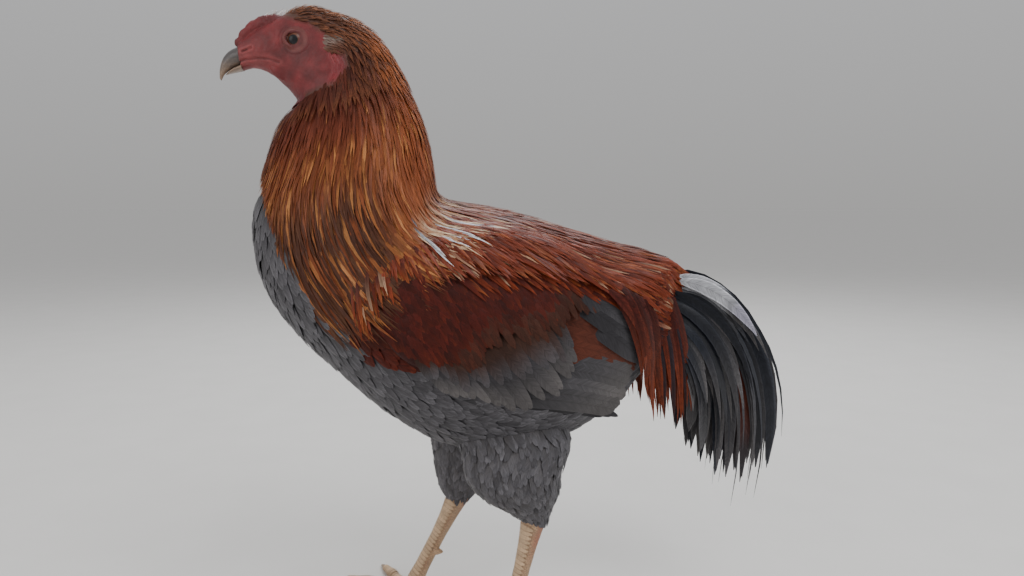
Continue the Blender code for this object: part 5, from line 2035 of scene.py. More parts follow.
    def thigh(self, side: Side) -> None:
        """Soft grey feathers of one thigh.

        Args:
            side: Side of the bird.
        """
        limb = THIGHS[side]
        station, turn = scatter_on(limb, 0.0, len(limb.rows) - 1.25, *self.thigh_spacing, self.draw)
        total = len(station)
        length = read_line(self.thigh_lengths, station) * self.draw.uniform(0.8, 1.2, total)
        half_width = read_line(self.thigh_widths, station) * self.draw.uniform(0.8, 1.2, total)
        base, tip = self.plumage.slate(total, 0.45)
        feathers = self.grow(limb, station, turn, half_width, self.thigh_lift, "rounded",
                             (blend(base, Shade.ASH, 0.45), tip),
                             self.draw.normal(0.0, 0.22, total), length, 5)
        finish = FeatherFinish(f"thigh_down_{side.label}", roughness=0.8, sheen=0.3, lace=0.2,
                               lace_start=0.6, lace_gain=1.3, heart=0.95, barb_depth=0.00012, slant=3.0,
                               shaft=0.1).make()
        self.tree.sweep(f"thigh_feathers_{side.label}", feathers, finish, 0.28)

    def curtain(self, side: Side) -> Feathers:
        """Long saddle feathers that hang beside the root of the tail.

        Args:
            side: Side of the bird.

        Returns:
            The feathers.
        """
        count = self.curtain_count
        place = (np.arange(count) + self.draw.random(count)) / count
        layer = self.draw.integers(0, 4, count)
        start = np.array((36.0, 255.0)) + np.array((56.0, -11.0)) * place[:, None]
        start = start + self.draw.normal(0.0, 3.0, (count, 2))
        stray = self.draw.normal(0.0, 3.0, count), self.draw.uniform(-6.0, 26.0, count)
        tips = read_table(np.array(self.curtain_tips), place * 3.0) + np.stack(stray, axis=-1)
        over = start + (tips - start) * 0.25 + np.array((14.0, 6.0))
        hang = tips + (start - tips) * 0.3 + np.array((7.0, 0.0))
        steps = np.linspace(0.0, 1.0, 9)
        paths, outs = np.zeros((2, count, len(steps), 3))
        for column, step in enumerate(steps):
            x, z = bezier((start, over, hang, tips), step).T
            body = BODY.half_width(x, z, 0.0, 6.0, 0.95)
            sideways = body + WING.cover(np.stack([x, x * 0.0, z], axis=-1)) + 1.2
            sideways = np.maximum(sideways, 35.0 - 0.12 * (x - 90.0)) + 0.9 * layer
            sideways = sideways - (1.0 - ramp(step, 0.0, 0.2)) * 6.0
            paths[:, column] = np.stack([x, side.value * sideways, z], axis=-1)
            outs[:, column] = unit(np.array((0.0, side.value, 0.4 * (1.0 - step))))
        reach = vane_widths("pointed", steps, self.draw.uniform(*self.curtain_widths, count))
        dark = self.draw.random(count) < 0.6 * ramp(place, 0.45, 1.0)
        base = layered(Shade.MAHOGANY_DARK, (Shade.MAHOGANY, self.draw.random(count)),
                       (Shade.BLUE_BLACK, 0.8 * dark))
        tip = blend(blend(Shade.FLAME, Shade.RUST, self.draw.random(count)) * 0.8, Shade.BLACK, 0.85 * dark)
        offset = 0.0 if side is Side.LEFT else 0.5
        spots = own_spots(count) * np.array((0.5, 1.0)) + np.array((offset, 0.0))
        return Feathers(paths, outs, reach, blend(base[:, None], tip[:, None], ramp(steps, 0.3, 1.0)), spots)

    def build(self) -> None:
        """Grow every kind of body feather."""
        self.body_feathers()
        self.saddle()
        self.hackle()
        self.glints()
        self.nape()
        for side in Side:
            self.thigh(side)
        finish = FeatherFinish("curtain_feather", roughness=0.46, lace=0.4, lace_start=0.5, lace_gain=1.5,
                               barb_depth=0.00012, barb_contrast=0.36, coat=0.08).make()
        self.tree.sweep("curtain", Feathers.join([self.curtain(side) for side in Side]), finish, 0.2)


@dataclass(frozen=True)
class Tier:
    """One row of wing feathers: line of roots, line of tips, size, lift and colours."""

    count: int
    roots: Line
    tips: Line
    half_width: float
    lift: float
    shingle: float
    shade: Shade
    tip_shade: Shade
    stack: float = 0.0
    kind: str = "rounded"
    arch: float = 0.06
    rough: float = 1.2


@dataclass
class Wing:
    """Feathers of one folded wing, from the flight feathers up to the bow."""

    tree: VaneTree
    plumage: Plumage
    draw: np.random.Generator
    side: Side
    bow_rows: int = 18
    bow_columns: int = 46
    bow_lengths: tuple[float, float] = (17.0, 25.0)
    bow_widths: tuple[float, float] = (1.8, 2.7)
    bow_lift: float = 8.4
    scapular_count: int = 150
    scapular_lengths: tuple[float, float] = (16.0, 32.0)
    scapular_widths: tuple[float, float] = (1.1, 1.9)
    scapular_lift: float = 9.4
    bow_edge: Line = (
        (-110.0, 194.0), (-70.0, 181.0), (-46.0, 190.0), (-28.0, 208.0), (10.0, 212.0), (26.0, 228.0))
    back_line: Line = ((-66.0, 268.0), (-26.0, 270.0), (14.0, 262.0), (34.0, 250.0))
    tiers: tuple[Tier, ...] = (
        Tier(count=3, roots=((-40.0, 170.0), (-14.0, 173.0)), tips=((52.0, 146.0), (64.0, 144.5)),
             half_width=4.6, lift=0.2, shingle=2.0, shade=Shade.SLATE_DARK, tip_shade=Shade.SLATE_DARK,
             stack=0.35, arch=0.05, rough=0.4),
        Tier(count=5, roots=((-42.0, 173.0), (8.0, 197.0)),
             tips=((61.0, 150.0), (70.0, 160.0), (71.0, 177.0)), half_width=9.0, lift=2.2, shingle=3.0,
             shade=Shade.SLATE, tip_shade=Shade.ASH, stack=0.5, kind="blunt", rough=0.3),
        Tier(count=5, roots=((-6.0, 205.0), (8.0, 230.0)), tips=((74.0, 181.0), (76.0, 202.0)),
             half_width=7.4, lift=4.4, shingle=2.0, shade=Shade.BAY, tip_shade=Shade.BAY, stack=0.2,
             arch=0.05, rough=0.4),
        Tier(count=3, roots=((30.0, 222.0), (20.0, 236.0), (8.0, 250.0)),
             tips=((78.0, 187.0), (73.0, 200.0), (65.0, 214.0)), half_width=8.4, lift=7.4, shingle=2.0,
             shade=Shade.SLATE_DARK, tip_shade=Shade.SLATE, stack=0.5, arch=0.05, rough=0.3),
        Tier(count=16, roots=((-80.0, 206.0), (-60.0, 203.0), (-38.0, 210.0), (-10.0, 228.0)),
             tips=((-62.0, 178.0), (-28.0, 167.0), (4.0, 166.0), (26.0, 193.0)), half_width=5.4, lift=6.8,
             shingle=3.0, shade=Shade.SLATE_DARK, tip_shade=Shade.ASH, arch=0.05, rough=1.8),
        Tier(count=17, roots=((-84.0, 211.0), (-56.0, 210.0), (-30.0, 222.0), (-4.0, 236.0)),
             tips=((-70.0, 188.0), (-40.0, 181.0), (-2.0, 190.0), (24.0, 206.0)), half_width=4.6,
             lift=7.6, shingle=3.0, shade=Shade.UMBER, tip_shade=Shade.SLATE, arch=0.05, rough=2.0),
    )

    def path_set(self, start: Array, tip: Array, half_width: Array, lift: Array,
                 shingle: float, tints: tuple[Array, Array], kind: str, arch: float,
                 count: int = 9) -> Feathers:
        """Feathers over the wing from lines seen from the side.

        Args:
            start: Root of each, seen from the side.
            tip: Tip of each, seen from the side.
            half_width: Greatest half width of each feather.
            lift: Height of each over the flank.
            shingle: Tilt of the vanes in degrees.
            tints: Root and tip colours.
            kind: Form of the vane.
            arch: Rise of the path as a share of its length.
            count: Points along each path.

        Returns:
            The feathers.
        """
        steps = path_steps(kind, count)
        paths, outs = np.zeros((2, len(start), count, 3))
        length = np.linalg.norm(tip - start, axis=1)
        for column, step in enumerate(steps):
            flat = start + (tip - start) * step
            z = flat[:, 1] + arch * length * math.sin(math.pi * step)
            sink = (1.0 - ramp(step, 0.0, 0.3)) * (lift + 1.5)
            paths[:, column] = WING.surface(flat[:, 0], z, self.side, lift - sink - 0.4 * step)
            outs[:, column] = WING.outward(flat[:, 0], z, self.side)
        ahead = unit(np.gradient(paths, axis=1))
        aside = unit(np.cross(outs, ahead))
        tilt = math.radians(shingle) * -self.side.value
        outs = unit(outs * math.cos(tilt) - aside * math.sin(tilt))
        mixed = blend(tints[0][:, None], tints[1][:, None], ramp(steps, 0.45, 1.0))
        return Feathers(paths, outs, vane_widths(kind, steps, half_width), mixed)

    def tier(self, tier: Tier) -> Feathers:
        """Feathers of one tier.

        Args:
            tier: Sizes and colours of the row.

        Returns:
            The feathers.
        """
        place = np.linspace(0.0, 1.0, tier.count)
        start, tip = (read_table(np.array(line), place * (len(line) - 1)) for line in (tier.roots, tier.tips))
        tip = tip + self.draw.normal(0.0, tier.rough, tip.shape)
        chance = self.draw.random(tier.count)
        base = blend(tier.shade, colour(tier.shade) * 0.75, chance)
        ends = blend(tier.tip_shade, tier.shade, 0.25 * self.draw.random(tier.count))
        lift = tier.lift + tier.stack * np.arange(tier.count)
        width = tier.half_width * self.draw.uniform(0.93, 1.06, tier.count)
        return self.path_set(start, tip, width, lift, tier.shingle, (base, ends), tier.kind, tier.arch)

    def bow(self) -> Feathers:
        """Small glossy feathers of the wing bow, in staggered rows.

        Returns:
            The feathers.
        """
        starts = []
        for row, height in enumerate(np.linspace(1.04, 0.34, self.bow_rows)):
            columns = np.linspace(-0.01, 0.86, self.bow_columns) + 0.5 / self.bow_columns * (row % 2)
            top, low = WING.edges(np.clip(columns, 0.0, 1.0))
            starts.append(low + (top - low) * height)
        start = np.concatenate(starts)
        start = start + self.draw.normal(0.0, 1.2, start.shape)
        total = len(start)
        direction = np.array((0.56, -0.83)) + self.draw.normal(0.0, 0.06, (total, 2))
        length = self.draw.uniform(*self.bow_lengths, total)
        tip = start + unit(direction) * length[:, None]
        floor = read_line(self.bow_edge, tip[:, 0])
        keep = tip[:, 1] > floor + self.draw.uniform(-7.0, 7.0, total)
        start, tip, total = start[keep], tip[keep], int(keep.sum())
        width = self.draw.uniform(*self.bow_widths, total)
        lift = self.bow_lift + 0.5 * self.draw.random(total) - 2.6 * ramp(start[:, 0], -84.0, -106.0)
        fade = ramp(tip[:, 1] - floor[keep], 14.0, 0.0)
        tints = tuple(blend(tone, Shade.UMBER, 0.85 * fade) for tone in self.plumage.bow(total))
        return self.path_set(start, tip, width, lift, 3.0, tints, "rounded", 0.05, 7)

    def scapulars(self) -> Feathers:
        """Bright pointed feathers that fall from the back over the top of the wing.

        Returns:
            The feathers.
        """
        total = self.scapular_count
        place = self.draw.random(total)
        deep = self.draw.random(total)
        start = read_table(np.array(self.back_line), place * 3.0)
        start = start + self.draw.normal(0.0, 2.0, start.shape) + np.array((6.0, -12.0)) * deep[:, None]
        length = self.draw.uniform(*self.scapular_lengths, total)
        direction = unit(np.stack([0.78 + 0.1 * place, -0.62 + 0.1 * place], axis=-1))
        tip = start + direction * length[:, None] + self.draw.normal(0.0, 1.5, start.shape)
        tints = self.plumage.saddle(total)
        lift = self.scapular_lift + self.draw.random(total)
        width = self.draw.uniform(*self.scapular_widths, total)
        return self.path_set(start, tip, width, lift, 2.0, tints, "pointed", 0.04, 7)

    def build(self) -> None:
        """Make the wing's pieces."""
        name = self.side.label
        flight = Feathers.join([self.tier(tier) for tier in self.tiers])
        finish = FeatherFinish(f"flight_feather_{name}", roughness=0.6, sheen=0.08, lace=0.3,
                               lace_start=0.88, lace_gain=1.6, heart=1.0, barb_contrast=0.18, slant=1.6,
                               shaft=0.25).make()
        self.tree.sweep(f"flight_feathers_{name}", flight, finish, 0.16, 0.06)
        finish = FeatherFinish(f"bow_feather_{name}", roughness=0.6, lace=0.0, lace_start=0.6,
                               lace_gain=1.0, heart=1.0, barb_contrast=0.25, slant=2.6, shaft=0.0).make()
        self.tree.sweep(f"wing_bow_{name}", Feathers.join([self.bow(), self.scapulars()]), finish, 0.2)


@dataclass
class Tail:
    """Drooping tail of overlapping plumes, with coverts at its root."""

    tree: VaneTree
    plumage: Plumage
    draw: np.random.Generator
    outer: Line = ((114.0, 247.0), (158.0, 246.0), (212.0, 188.0), (199.0, 98.0))
    inner: Line = ((110.0, 200.0), (124.0, 190.0), (130.0, 160.0), (124.0, 126.0))
    drop: float = 26.0
    count: int = 24
    wisp_count: int = 18
    covert_count: int = 46
    lead_count: int = 22
    plume_widths: tuple[float, float] = (4.6, 6.8)
    wisp_widths: tuple[float, float] = (1.2, 2.2)
    covert_widths: tuple[float, float] = (2.4, 4.0)
    lead_widths: tuple[float, float] = (2.8, 4.4)
    mark_place: float = 0.10
    rust_place: float = 0.42

    def plumes(self, side: Side, share: Array, reach_share: Array, half_width: Array,
               layer: Array, kind: str) -> Feathers:
        """Plumes of one side.

        Args:
            side: Side of the tail.
            share: Place of each from the outermost, 0, to the innermost, 1.
            reach_share: How much of the whole curve each runs along.
            half_width: Half width of each.
            layer: Distance of each from the middle of the tail.
            kind: Outline of the vane.

        Returns:
            The feathers.
        """
        total = len(share)
        outer, inner = np.array((self.outer, self.inner))
        guide = outer + (inner - outer) * share[:, None, None]
        guide[:, 3, 1] -= self.drop * np.sin(math.pi * share) + self.draw.uniform(-7.0, 7.0, total)
        guide[:, 3, 0] += self.draw.normal(0.0, 1.5, total)
        steps = np.linspace(0.0, 1.0, 12)
        paths, outs = np.zeros((2, total, len(steps), 3))
        sway = self.draw.normal(0.0, 0.22, total)
        for column, fraction in enumerate(steps):
            step = fraction * reach_share
            x, z = bezier(tuple(np.moveaxis(guide, 1, 0)), step[:, None]).T
            y = side.value * layer * (1.0 + 0.5 * np.sin(math.pi * step * 0.75))
            paths[:, column] = np.stack([x, y, z], axis=-1)
            outs[:, column] = unit(np.stack([sway * 0.5, np.full(total, float(side.value)), sway], axis=-1))
        base, tip = self.plumage.tail(total)
        mixed = blend(base[:, None], tip[:, None], ramp(steps, 0.4, 1.0))
        return Feathers(paths, outs, vane_widths(kind, steps, half_width), mixed)

    def side_feathers(self, side: Side) -> Feathers:
        """Main plumes, coverts and narrow wisps of one side.

        Args:
            side: Side of the bird.

        Returns:
            The feathers.
        """
        share = (np.arange(self.count) + 0.3 * self.draw.random(self.count)) / self.count
        layer = 0.8 + 13.5 * ((np.arange(self.count) * 7) % self.count) / self.count
        width = self.draw.uniform(*self.plume_widths, self.count)
        main = self.plumes(side, share, np.ones(self.count), width, layer, "rounded")
        self.mark(main, share)
        wisps, coverts, before = self.wisp_count, self.covert_count, self.lead_count
        thin = self.plumes(side, self.draw.random(wisps) * 0.9, self.draw.uniform(0.9, 1.06, wisps),
                           self.draw.uniform(*self.wisp_widths, wisps),
                           14.0 + 3.0 * self.draw.random(wisps),
                           "pointed")
        place = (np.arange(coverts) + self.draw.random(coverts)) / coverts
        reach_share = self.draw.uniform(0.35, 0.62, coverts)
        width = self.draw.uniform(*self.covert_widths, coverts)
        layer = 17.5 - 1.5 * self.draw.random(coverts)
        marked = int(np.argmin(np.abs(place - self.mark_place)))
        reach_share[marked], width[marked], layer[marked] = 0.5, 5.6, 19.0
        short = self.plumes(side, place, reach_share, width, layer, "pointed")
        steps = np.linspace(0.0, 1.0, short.tints.shape[1])
        # The outermost coverts turn silver along their first half: a painted highlight at the top of the
        # tail's root.
        gloss = ramp(place, 0.30, 0.10) * self.draw.uniform(0.55, 1.0, coverts)
        short.tints = blend(short.tints, Shade.SILVER, 0.9 * gloss[:, None] * ramp(steps, 0.85, 0.5))
        short.tints[marked] = blend(short.tints[marked], Shade.LILAC, ramp(steps, 0.62, 0.72))
        place = (np.arange(before) + self.draw.random(before)) / before
        lead = self.plumes(side, 0.2 + 0.75 * place, self.draw.uniform(0.5, 0.8, before),
                           self.draw.uniform(*self.lead_widths, before),
                           22.0 + 3.0 * self.draw.random(before),
                           "pointed")
        lead.paths[..., 0] -= 13.0
        return Feathers.join([main, thin, short, lead])

    def mark(self, main: Feathers, share: Array) -> None:
        """Give a few plumes their rust lacing.

        Args:
            main: Plumes to colour.
            share: Place of each plume from the outermost to the innermost.
        """
        steps = np.linspace(0.0, 1.0, main.tints.shape[1])
        rust = 0.75 * ramp(np.abs(share - self.rust_place), 0.09, 0.02)
        along = ramp(steps, 0.15, 0.4) * ramp(steps, 0.95, 0.7)
        main.tints = blend(main.tints, Shade.RUST, rust[:, None] * along)

    def build(self) -> None:
        """Make the tail's piece."""
        feathers = Feathers.join([self.side_feathers(side) for side in Side])
        finish = FeatherFinish("tail_feather", roughness=0.36, sheen=0.08, lace=0.5, lace_start=0.76,
                               lace_gain=2.6, heart=0.9, barb_depth=0.00012, coat=0.2).make()
        self.tree.sweep("tail_plumes", feathers, finish, 0.14, 0.06)


@dataclass
class Bristles:
    """Fine bristles over the ear and wisps behind the comb."""

    tree: VaneTree
    draw: np.random.Generator
    ear_count: int = 150
    wisp_count: int = 70
    ear_outline: Line = ((-144.0, 404.0), (-141.0, 415.0), (-133.0, 413.0), (-130.0, 403.0), (-136.0, 400.0))
    crest: Line = ((-184.0, 428.0), (-176.0, 428.5), (-168.0, 430.0), (-158.0, 434.0))

    def tuft(self, starts: Array, ends: Array, outs: Array, width: float,
             tint: Array) -> Feathers:
        """Slightly bent hairs from starts to ends.

        Args:
            starts: Root of each hair.
            ends: Tip of each hair.
            outs: Outward direction of each hair.
            width: Usual half width in millimetres.
            tint: Colour of each hair.

        Returns:
            The hairs.
        """
        steps = np.linspace(0.0, 1.0, 5)
        way = ends - starts
        bend = 0.12 * np.sin(math.pi * steps)[:, None] * np.linalg.norm(way, axis=1)[:, None, None]
        paths = starts[:, None] + way[:, None] * steps[:, None] + outs[:, None] * bend
        reach = vane_widths("hair", steps, width * self.draw.uniform(0.7, 1.2, len(starts)))
        outs, tints = (np.repeat(rows[:, None], len(steps), axis=1) for rows in (outs, tint))
        return Feathers(paths, outs, reach, tints)

    def ear(self, side: Side) -> Feathers:
        """Tuft over one ear opening.

        Args:
            side: Side of the bird.

        Returns:
            The hairs.
        """
        x = self.draw.uniform(-143.0, -131.0, self.ear_count)
        z = self.draw.uniform(401.5, 413.5, self.ear_count)
        keep = inside_outline(x, z, self.ear_outline)
        x, z = x[keep], z[keep]
        total = len(x)
        y = side.value * (BODY.half_width(x, z, 8.0, 21.0) - 0.6)
        starts = np.stack([x, y, z], axis=-1)
        way = np.stack([self.draw.uniform(5.0, 8.5, total), side.value * self.draw.uniform(0.8, 2.6, total),
                        self.draw.uniform(-4.5, -1.5, total)], axis=-1)
        outs = np.tile((0.0, float(side.value), 0.2), (total, 1))
        chance = self.draw.random(total)
        tint = blend(Shade.CROWN, Shade.BRISTLE, ramp(z - 0.5 * x, 472.0, 482.0) * (0.4 + 0.6 * chance))
        return self.tuft(starts, starts + way, unit(outs), 0.42, tint)

    def wisps(self) -> Feathers:
        """Pale wisps that rise behind the comb.

        Returns:
            The hairs.
        """
        total = self.wisp_count
        x = self.draw.uniform(-184.0, -158.0, total)
        y = self.draw.normal(0.0, 2.6, total)
        z = read_line(self.crest, x) - 1.0
        starts = np.stack([x, y, z], axis=-1)
        way = np.stack([self.draw.uniform(1.0, 8.0, total), self.draw.normal(0.0, 1.0, total),
                        self.draw.uniform(2.0, 6.5, total)], axis=-1)
        outs = unit(np.stack([self.draw.normal(0.0, 1.0, total), self.draw.normal(0.0, 1.0, total),
                              np.full(total, 0.4)], axis=-1))
        tint = layered(Shade.SILVER, (Shade.PALE_GOLD, 0.6 * self.draw.random(total)),
                       (Shade.CROWN_ORANGE, ramp(x, -170.0, -160.0) * (0.5 + 0.5 * self.draw.random(total))))
        return self.tuft(starts, starts + way, outs, 0.30, tint)

    def build(self) -> None:
        """Make the bristles' piece."""
        feathers = Feathers.join([self.ear(Side.LEFT), self.ear(Side.RIGHT), self.wisps()])
        finish = FeatherFinish("bristle", roughness=0.7, sheen=0.4, lace=0.0, lace_start=0.6,
                               lace_gain=1.0, heart=1.0, barb_depth=0.00005, barb_contrast=0.1).make()
        self.tree.sweep("bristles", feathers, finish, 0.6, 0.5)


# Legs


@dataclass
class Leg:
    """Scaled shank, foot, spur and claws of one leg."""

    tree: VaneTree
    side: Side
    draw: np.random.Generator
    feet: dict[Side, tuple[float, float]] = field(
        default_factory=lambda: {Side.LEFT: (-17.5, -38.0), Side.RIGHT: (-85.0, 37.0)})
    turns: dict[Side, float] = field(default_factory=lambda: {Side.LEFT: 0.0, Side.RIGHT: 24.0})
    ankle_height: float = 13.0
    hock_drop: float = 0.3
    shank_steps: tuple[float, ...] = (-0.12, -0.05, 0.05, 0.12, 0.21, 0.31, 0.5, 0.85, 1.0)
    shank_radii: tuple[float, ...] = (8.4, 9.4, 9.0, 8.2, 7.3, 6.6, 5.7, 5.8, 6.6)
    spur_step: float = 0.66
    toes: dict[str, Triple] = field(default_factory=lambda: {
        "inner": (-32.0, 42.0, 4.7), "middle": (4.0, 56.0, 5.2),
        "outer": (42.0, 46.0, 4.7), "rear": (-158.0, 24.0, 4.2)})
    toe_steps: tuple[float, ...] = (0.0, 0.25, 0.5, 0.65, 0.82, 1.0)
    toe_swell: tuple[float, ...] = (1.2, 1.05, 0.8, 0.92, 0.74, 0.6)
    claw_length: float = 11.0
    claw_shares: tuple[float, ...] = (0.0, 0.35, 0.7, 1.0)
    claw_drops: tuple[float, ...] = (0.0, -0.1, 0.5, 1.7)
    claw_radii: tuple[float, ...] = (2.25, 1.9, 1.15, 0.25)
    spur_balls: Line = ((4.0, 3.6), (7.0, 3.0), (10.0, 2.0), (12.0, 1.1))
    ankle_balls: Line = ((13.0, 1.0), (10.0, 1.06), (7.0, 1.12), (5.0, 1.1))
    plate_shares: tuple[float, ...] = (0.35, 0.8, 1.0, 1.0, 1.0, 1.0, 1.0, 0.8, 0.35)
    shank_plates: int = 24
    shank_plate: Triple = (0.25, 0.95, 2.4)
    toe_plate_gap: float = 3.4
    toe_plate: Triple = (0.2, 0.80, 1.9)
    shank_voxel: float = 0.55
    foot_voxel: float = 0.6

    def ends(self) -> tuple[Array, Array]:
        """Hock and ankle."""
        x, y, z, _, _ = THIGHS[self.side].rows[-1]
        ankle = (*self.feet[self.side], FLOOR + self.ankle_height)
        return np.array((x, y, z - self.hock_drop)), np.array(ankle)

    def sole(self) -> Array:
        """Point of the ground under the ankle, on the line of the shank."""
        hock, ankle = self.ends()
        return ankle - (hock - ankle) * (self.ankle_height / (hock[2] - ankle[2]))

    def heading(self, toe: str) -> Array:
        """Direction of a toe along the ground."""
        turn = math.radians(self.toes[toe][0] + self.turns[self.side])
        return np.array((-math.cos(turn), self.side.value * math.sin(turn), 0.0))

    def shank_radius(self, step: Array | float) -> Array:
        """Radius of the shank at shares of the way from the hock to the ankle."""
        return np.interp(step, self.shank_steps, self.shank_radii)

    def shank(self) -> Mesh:
        """Shank from the hock to the ankle, with its spur.

        Returns:
            The mesh.
        """
        hock, ankle = self.ends()
        axis = ankle - hock
        lean = 1.0 / math.cos(math.atan2(axis[0], axis[2]))
        steps = np.linspace(self.shank_steps[0], 1.0, 40)
        radii = self.shank_radius(steps)
        first, second = (radii[:, None] * np.array(half) for half in ((abs(lean), 0.0, 0.0), (0.0, 0.9, 0.0)))
        parts = [loft("shank_form", oval_rings(hock + axis * steps[:, None], first, second, 36))]
        root = hock + axis * self.spur_step
        out = unit(np.array((0.75, -0.6 * self.side.value, 0.15)))
        for reach, radius in self.spur_balls:
            parts.append(ball("spur", tuple(root + out * reach), (radius,) * 3, 16, 12))
        return remeshed(join_meshes("shank_form", parts), self.shank_voxel, 4)

    def foot(self) -> Mesh:
        """Ankle, toes with their pads, and the web between them.

        Returns:
            The mesh.
        """
        hock, ankle = self.ends()
        axis = unit(ankle - hock)
        parts = []
        radius = self.shank_radii[-1]
        for height, spread in self.ankle_balls:
            centre = ankle + axis * (self.ankle_height - height)
            centre[2] = max(centre[2], FLOOR + radius * 0.98)
            half = (radius * spread, radius * 0.94 * spread, radius * 0.95)
            parts.append(ball("ankle", tuple(centre), half, 20, 14))
        sole = self.sole()
        for toe, (_, length, root_radius) in self.toes.items():
            ahead = self.heading(toe)
            shares = np.linspace(0.0, 1.0, 22)
            swell = np.interp(shares, self.toe_steps, self.toe_swell)
            for share, wide in zip(shares, swell):
                thick = root_radius * wide
                knuckle = 1.0 + 0.07 * math.sin(share * 26.0)
                centre = sole + ahead * (length * share) + np.array((0.0, 0.0, thick * 0.96))
                half = (thick * knuckle, thick * knuckle, thick * 0.96)
                parts.append(ball("toe", tuple(centre), half, 16, 10))
        return remeshed(join_meshes("foot_form", parts), self.foot_voxel, 4)

    def scutes(self) -> Feathers:
        """Overlapping plates down the front of the shank and along the top of each toe.

        Returns:
            The plates as swept paths.
        """
        hock, ankle = self.ends()
        axis = ankle - hock
        rise, *plate = self.shank_plate
        sets = [self.plates(hock + axis * step, unit(axis), np.array((-1.0, 0.0, 0.0)),
                            float(self.shank_radius(step)) + rise, *plate)
                for step in np.linspace(0.09, 1.02, self.shank_plates)]
        sole = self.sole()
        rise, *plate = self.toe_plate
        for toe, (_, length, root_radius) in self.toes.items():
            ahead = self.heading(toe)
            for share in np.linspace(0.10, 0.97, max(int(length / self.toe_plate_gap), 5)):
                thick = root_radius * float(np.interp(share, self.toe_steps, self.toe_swell))
                centre = sole + ahead * (length * share) + np.array((0.0, 0.0, thick * 0.96))
                sets.append(self.plates(centre, ahead, np.array((0.0, 0.0, 1.0)), thick + rise, *plate))
        return Feathers.join(sets)

    def plates(self, centre: Array, axis: Array, front: Array, radius: float, spread: float,
               half_width: float) -> Feathers:
        """One plate that bends round a limb.

        Args:
            centre: Middle of the limb there.
            axis: Direction down the limb.
            front: Direction that the plate faces.
            radius: Distance of the plate from the middle.
            spread: How far it reaches to each side, in radians over a right angle.
            half_width: Half its size along the limb.

        Returns:
            The plate as a swept path.
        """
        front = unit(front - axis * float(np.dot(front, axis)))
        aside = np.cross(axis, front)
        angles = np.linspace(-spread, spread, len(self.plate_shares)) * math.pi / 2.0
        outs = np.cos(angles)[:, None] * front + np.sin(angles)[:, None] * aside
        paths = centre + outs * radius
        outs = unit(outs + 0.10 * axis)
        reach = half_width * np.array(self.plate_shares)
        return Feathers(paths[None], outs[None], reach[None], np.ones((1, *paths.shape)))

    def claw(self, toe: str) -> Mesh:
        """Curved claw of one toe.

        Args:
            toe: Name of the toe.

        Returns:
            The mesh.
        """
        _, length, root_radius = self.toes[toe]
        ahead = self.heading(toe)
        start = self.sole() + ahead * (length + 0.3)
        start = start + np.array((0.0, 0.0, root_radius * self.toe_swell[-1] - 0.4))
        steps = np.linspace(0.0, 1.0, 18)
        drop = np.interp(steps, self.claw_shares, self.claw_drops)
        radii = np.interp(steps, self.claw_shares, self.claw_radii)
        centres = start + ahead * (self.claw_length * steps)[:, None]
        centres[:, 2] -= drop
        aside = np.cross(ahead, (0.0, 0.0, 1.0))
        first = radii[:, None] * aside * 0.85
        second = radii[:, None] * np.array((0.0, 0.0, 1.0))
        centres[:, 2] = np.maximum(centres[:, 2], FLOOR + radii + 0.05)
        return loft(f"claw_{toe}", oval_rings(centres, first, second, 20))

    def warmth(self, mesh: Mesh) -> None:
        """Store how reddish the leg is: most behind the hock, high up the shank.

        Args:
            mesh: Mesh to work on.
        """
        places = mesh_points(mesh)
        cloud = grain(places, 9.0, 5.0)
        hock, _ = self.ends()
        rear = ramp(places[:, 0] - hock[0] - (places[:, 2] - hock[2]) * 0.35, 0.0, 7.0)
        high = ramp(places[:, 2], 30.0, 60.0)
        write_rows(mesh, "warmth", "FLOAT", np.clip(0.12 + 0.2 * cloud + 0.75 * rear * high, 0.0, 1.0))

    def build(self) -> None:
        """Make the leg's pieces."""
        name = self.side.label
        finish = ScaleFinish(f"leg_scale_{name}").make()
        for part, mesh in (("shank", self.shank()), ("foot", self.foot())):
            self.warmth(mesh)
            dress(link_object(f"{part}_skin_{name}", mesh), [finish], f"{part}_{name}")
        finish = PlateFinish(f"leg_plate_{name}").make()
        self.tree.sweep(f"leg_plates_{name}", self.scutes(), finish, 0.10, 0.09)
        horn = HornFinish(f"claw_horn_{name}", dark=(0.20, 0.15, 0.115), pale=(0.46, 0.33, 0.22), low=0.0,
                          high=0.007).make()
        for toe in self.toes:
            dress(link_object(f"claw_horn_{name}_{toe}", self.claw(toe)), [horn], f"claw_{name}_{toe}")


# Studio


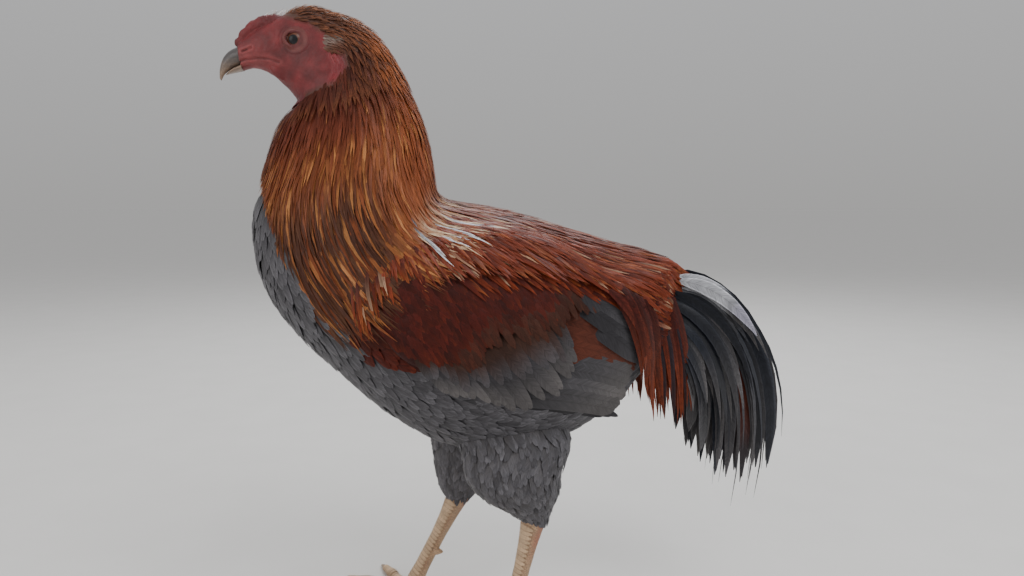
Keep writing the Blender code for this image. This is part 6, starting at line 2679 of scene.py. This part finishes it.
@dataclass
class Studio:
    """Pale floor, soft lights and the camera at the photo's angle."""

    place: Triple = (-0.0868, -0.5466, 0.3200)
    azimuth: float = -8.0
    pitch: float = 6.5
    focal_pixels: float = 740.0
    image_width: float = 1024.0
    sensor: float = 36.0
    horizon: tuple[float, ...] = (0.42, 0.415, 0.41, 1.0)
    zenith: tuple[float, ...] = (0.60, 0.605, 0.62, 1.0)
    sky_height: float = 0.5
    floor_reach: float = 40.0
    floor_tones: Rows = ((0.66, 0.645, 0.62, 1.0), (0.72, 0.705, 0.68, 1.0))
    aim: Triple = (0.0, 0.0, 0.24)
    lights: tuple[tuple[str, Triple, float, float, Triple], ...] = (
        ("window", (0.9, -1.1, 1.92), 20.0, 1.3, (0.98, 0.98, 1.0)),
        ("fill", (-1.5, -1.0, 0.92), 9.0, 1.2, (1.0, 0.96, 0.93)),
        ("back", (0.3, 1.0, 1.72), 24.0, 1.2, (0.96, 0.98, 1.0)))

    def floor(self) -> None:
        """Plain pale floor with a faint mottle."""
        shape = bmesh.new()
        bmesh.ops.create_grid(shape, x_segments=1, y_segments=1, size=self.floor_reach)
        mesh = bpy.data.meshes.new("floor")
        shape.to_mesh(mesh)
        shape.free()
        item = link_object("floor", mesh)
        sheet = NodeSheet("floor_paint")
        cloud = sheet.noise(sheet.object_place(), 14.0, 4.0)
        tone = sheet.mix(cloud, *self.floor_tones)
        item.data.materials.append(sheet.finished({"Base Color": tone, "Roughness": 0.9}))

    def camera(self) -> None:
        """Camera placed as the photo's."""
        turn = math.radians(self.azimuth)
        tip = math.radians(self.pitch)
        level = Vector((-math.sin(turn), math.cos(turn), 0.0))
        right = Vector((math.cos(turn), math.sin(turn), 0.0))
        ahead = level * math.cos(tip) - Vector((0.0, 0.0, math.sin(tip)))
        above = right.cross(ahead)
        lens = bpy.data.cameras.new("camera")
        lens.sensor_width = self.sensor
        lens.lens = self.sensor * self.focal_pixels / self.image_width
        item = link_object("camera", lens)
        item.matrix_world = Matrix((
            (right.x, above.x, -ahead.x, self.place[0]), (right.y, above.y, -ahead.y, self.place[1]),
            (right.z, above.z, -ahead.z, self.place[2]), (0.0, 0.0, 0.0, 1.0)))
        bpy.context.scene.camera = item

    def light(self, name: str, place: Triple, power: float, size: float,
              tone: Triple) -> None:
        """Square soft light that faces the bird's middle.

        Args:
            name: Name of the light.
            place: Place in metres.
            power: Power in watts.
            size: Length of its side in metres.
            tone: Colour of the light.
        """
        lamp = bpy.data.lights.new(name, "AREA")
        lamp.energy = power
        lamp.size = size
        lamp.color = tone
        item = link_object(name, lamp)
        item.location = place
        item.rotation_euler = (Vector(self.aim) - Vector(place)).to_track_quat("-Z", "Y").to_euler()

    def build(self) -> None:
        """Make floor, camera, lights and sky."""
        self.floor()
        self.camera()
        for lamp in self.lights:
            self.light(*lamp)
        world = bpy.data.worlds.new("sky")
        bpy.context.scene.world = world
        world.use_nodes = True
        sky = TreeWriter(world.node_tree)
        split = sky.add("ShaderNodeSeparateXYZ", sky.add("ShaderNodeTexCoord").outputs["Generated"])
        height = sky.add("ShaderNodeMapRange", split.outputs["Z"])
        sky.fill(height, {"From Max": self.sky_height})
        tone = sky.mix(height.outputs["Result"], self.horizon, self.zenith)
        sky.fill(world.node_tree.nodes["Background"], {"Color": tone})


def main() -> None:
    """Build the cockerel and its studio, and report each piece."""
    logging.basicConfig(level=logging.INFO, format="%(message)s")
    draw = np.random.default_rng(SEED)
    plumage = Plumage(draw)
    tree = VaneTree()
    Skin(plumage).build()
    HeadParts().build()
    Coat(tree, plumage, draw).build()
    for side in Side:
        Wing(tree, plumage, draw, side).build()
        Leg(tree, side, draw).build()
    Tail(tree, plumage, draw).build()
    Bristles(tree, draw).build()
    Studio().build()
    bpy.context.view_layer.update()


if __name__ == "__main__":
    main()
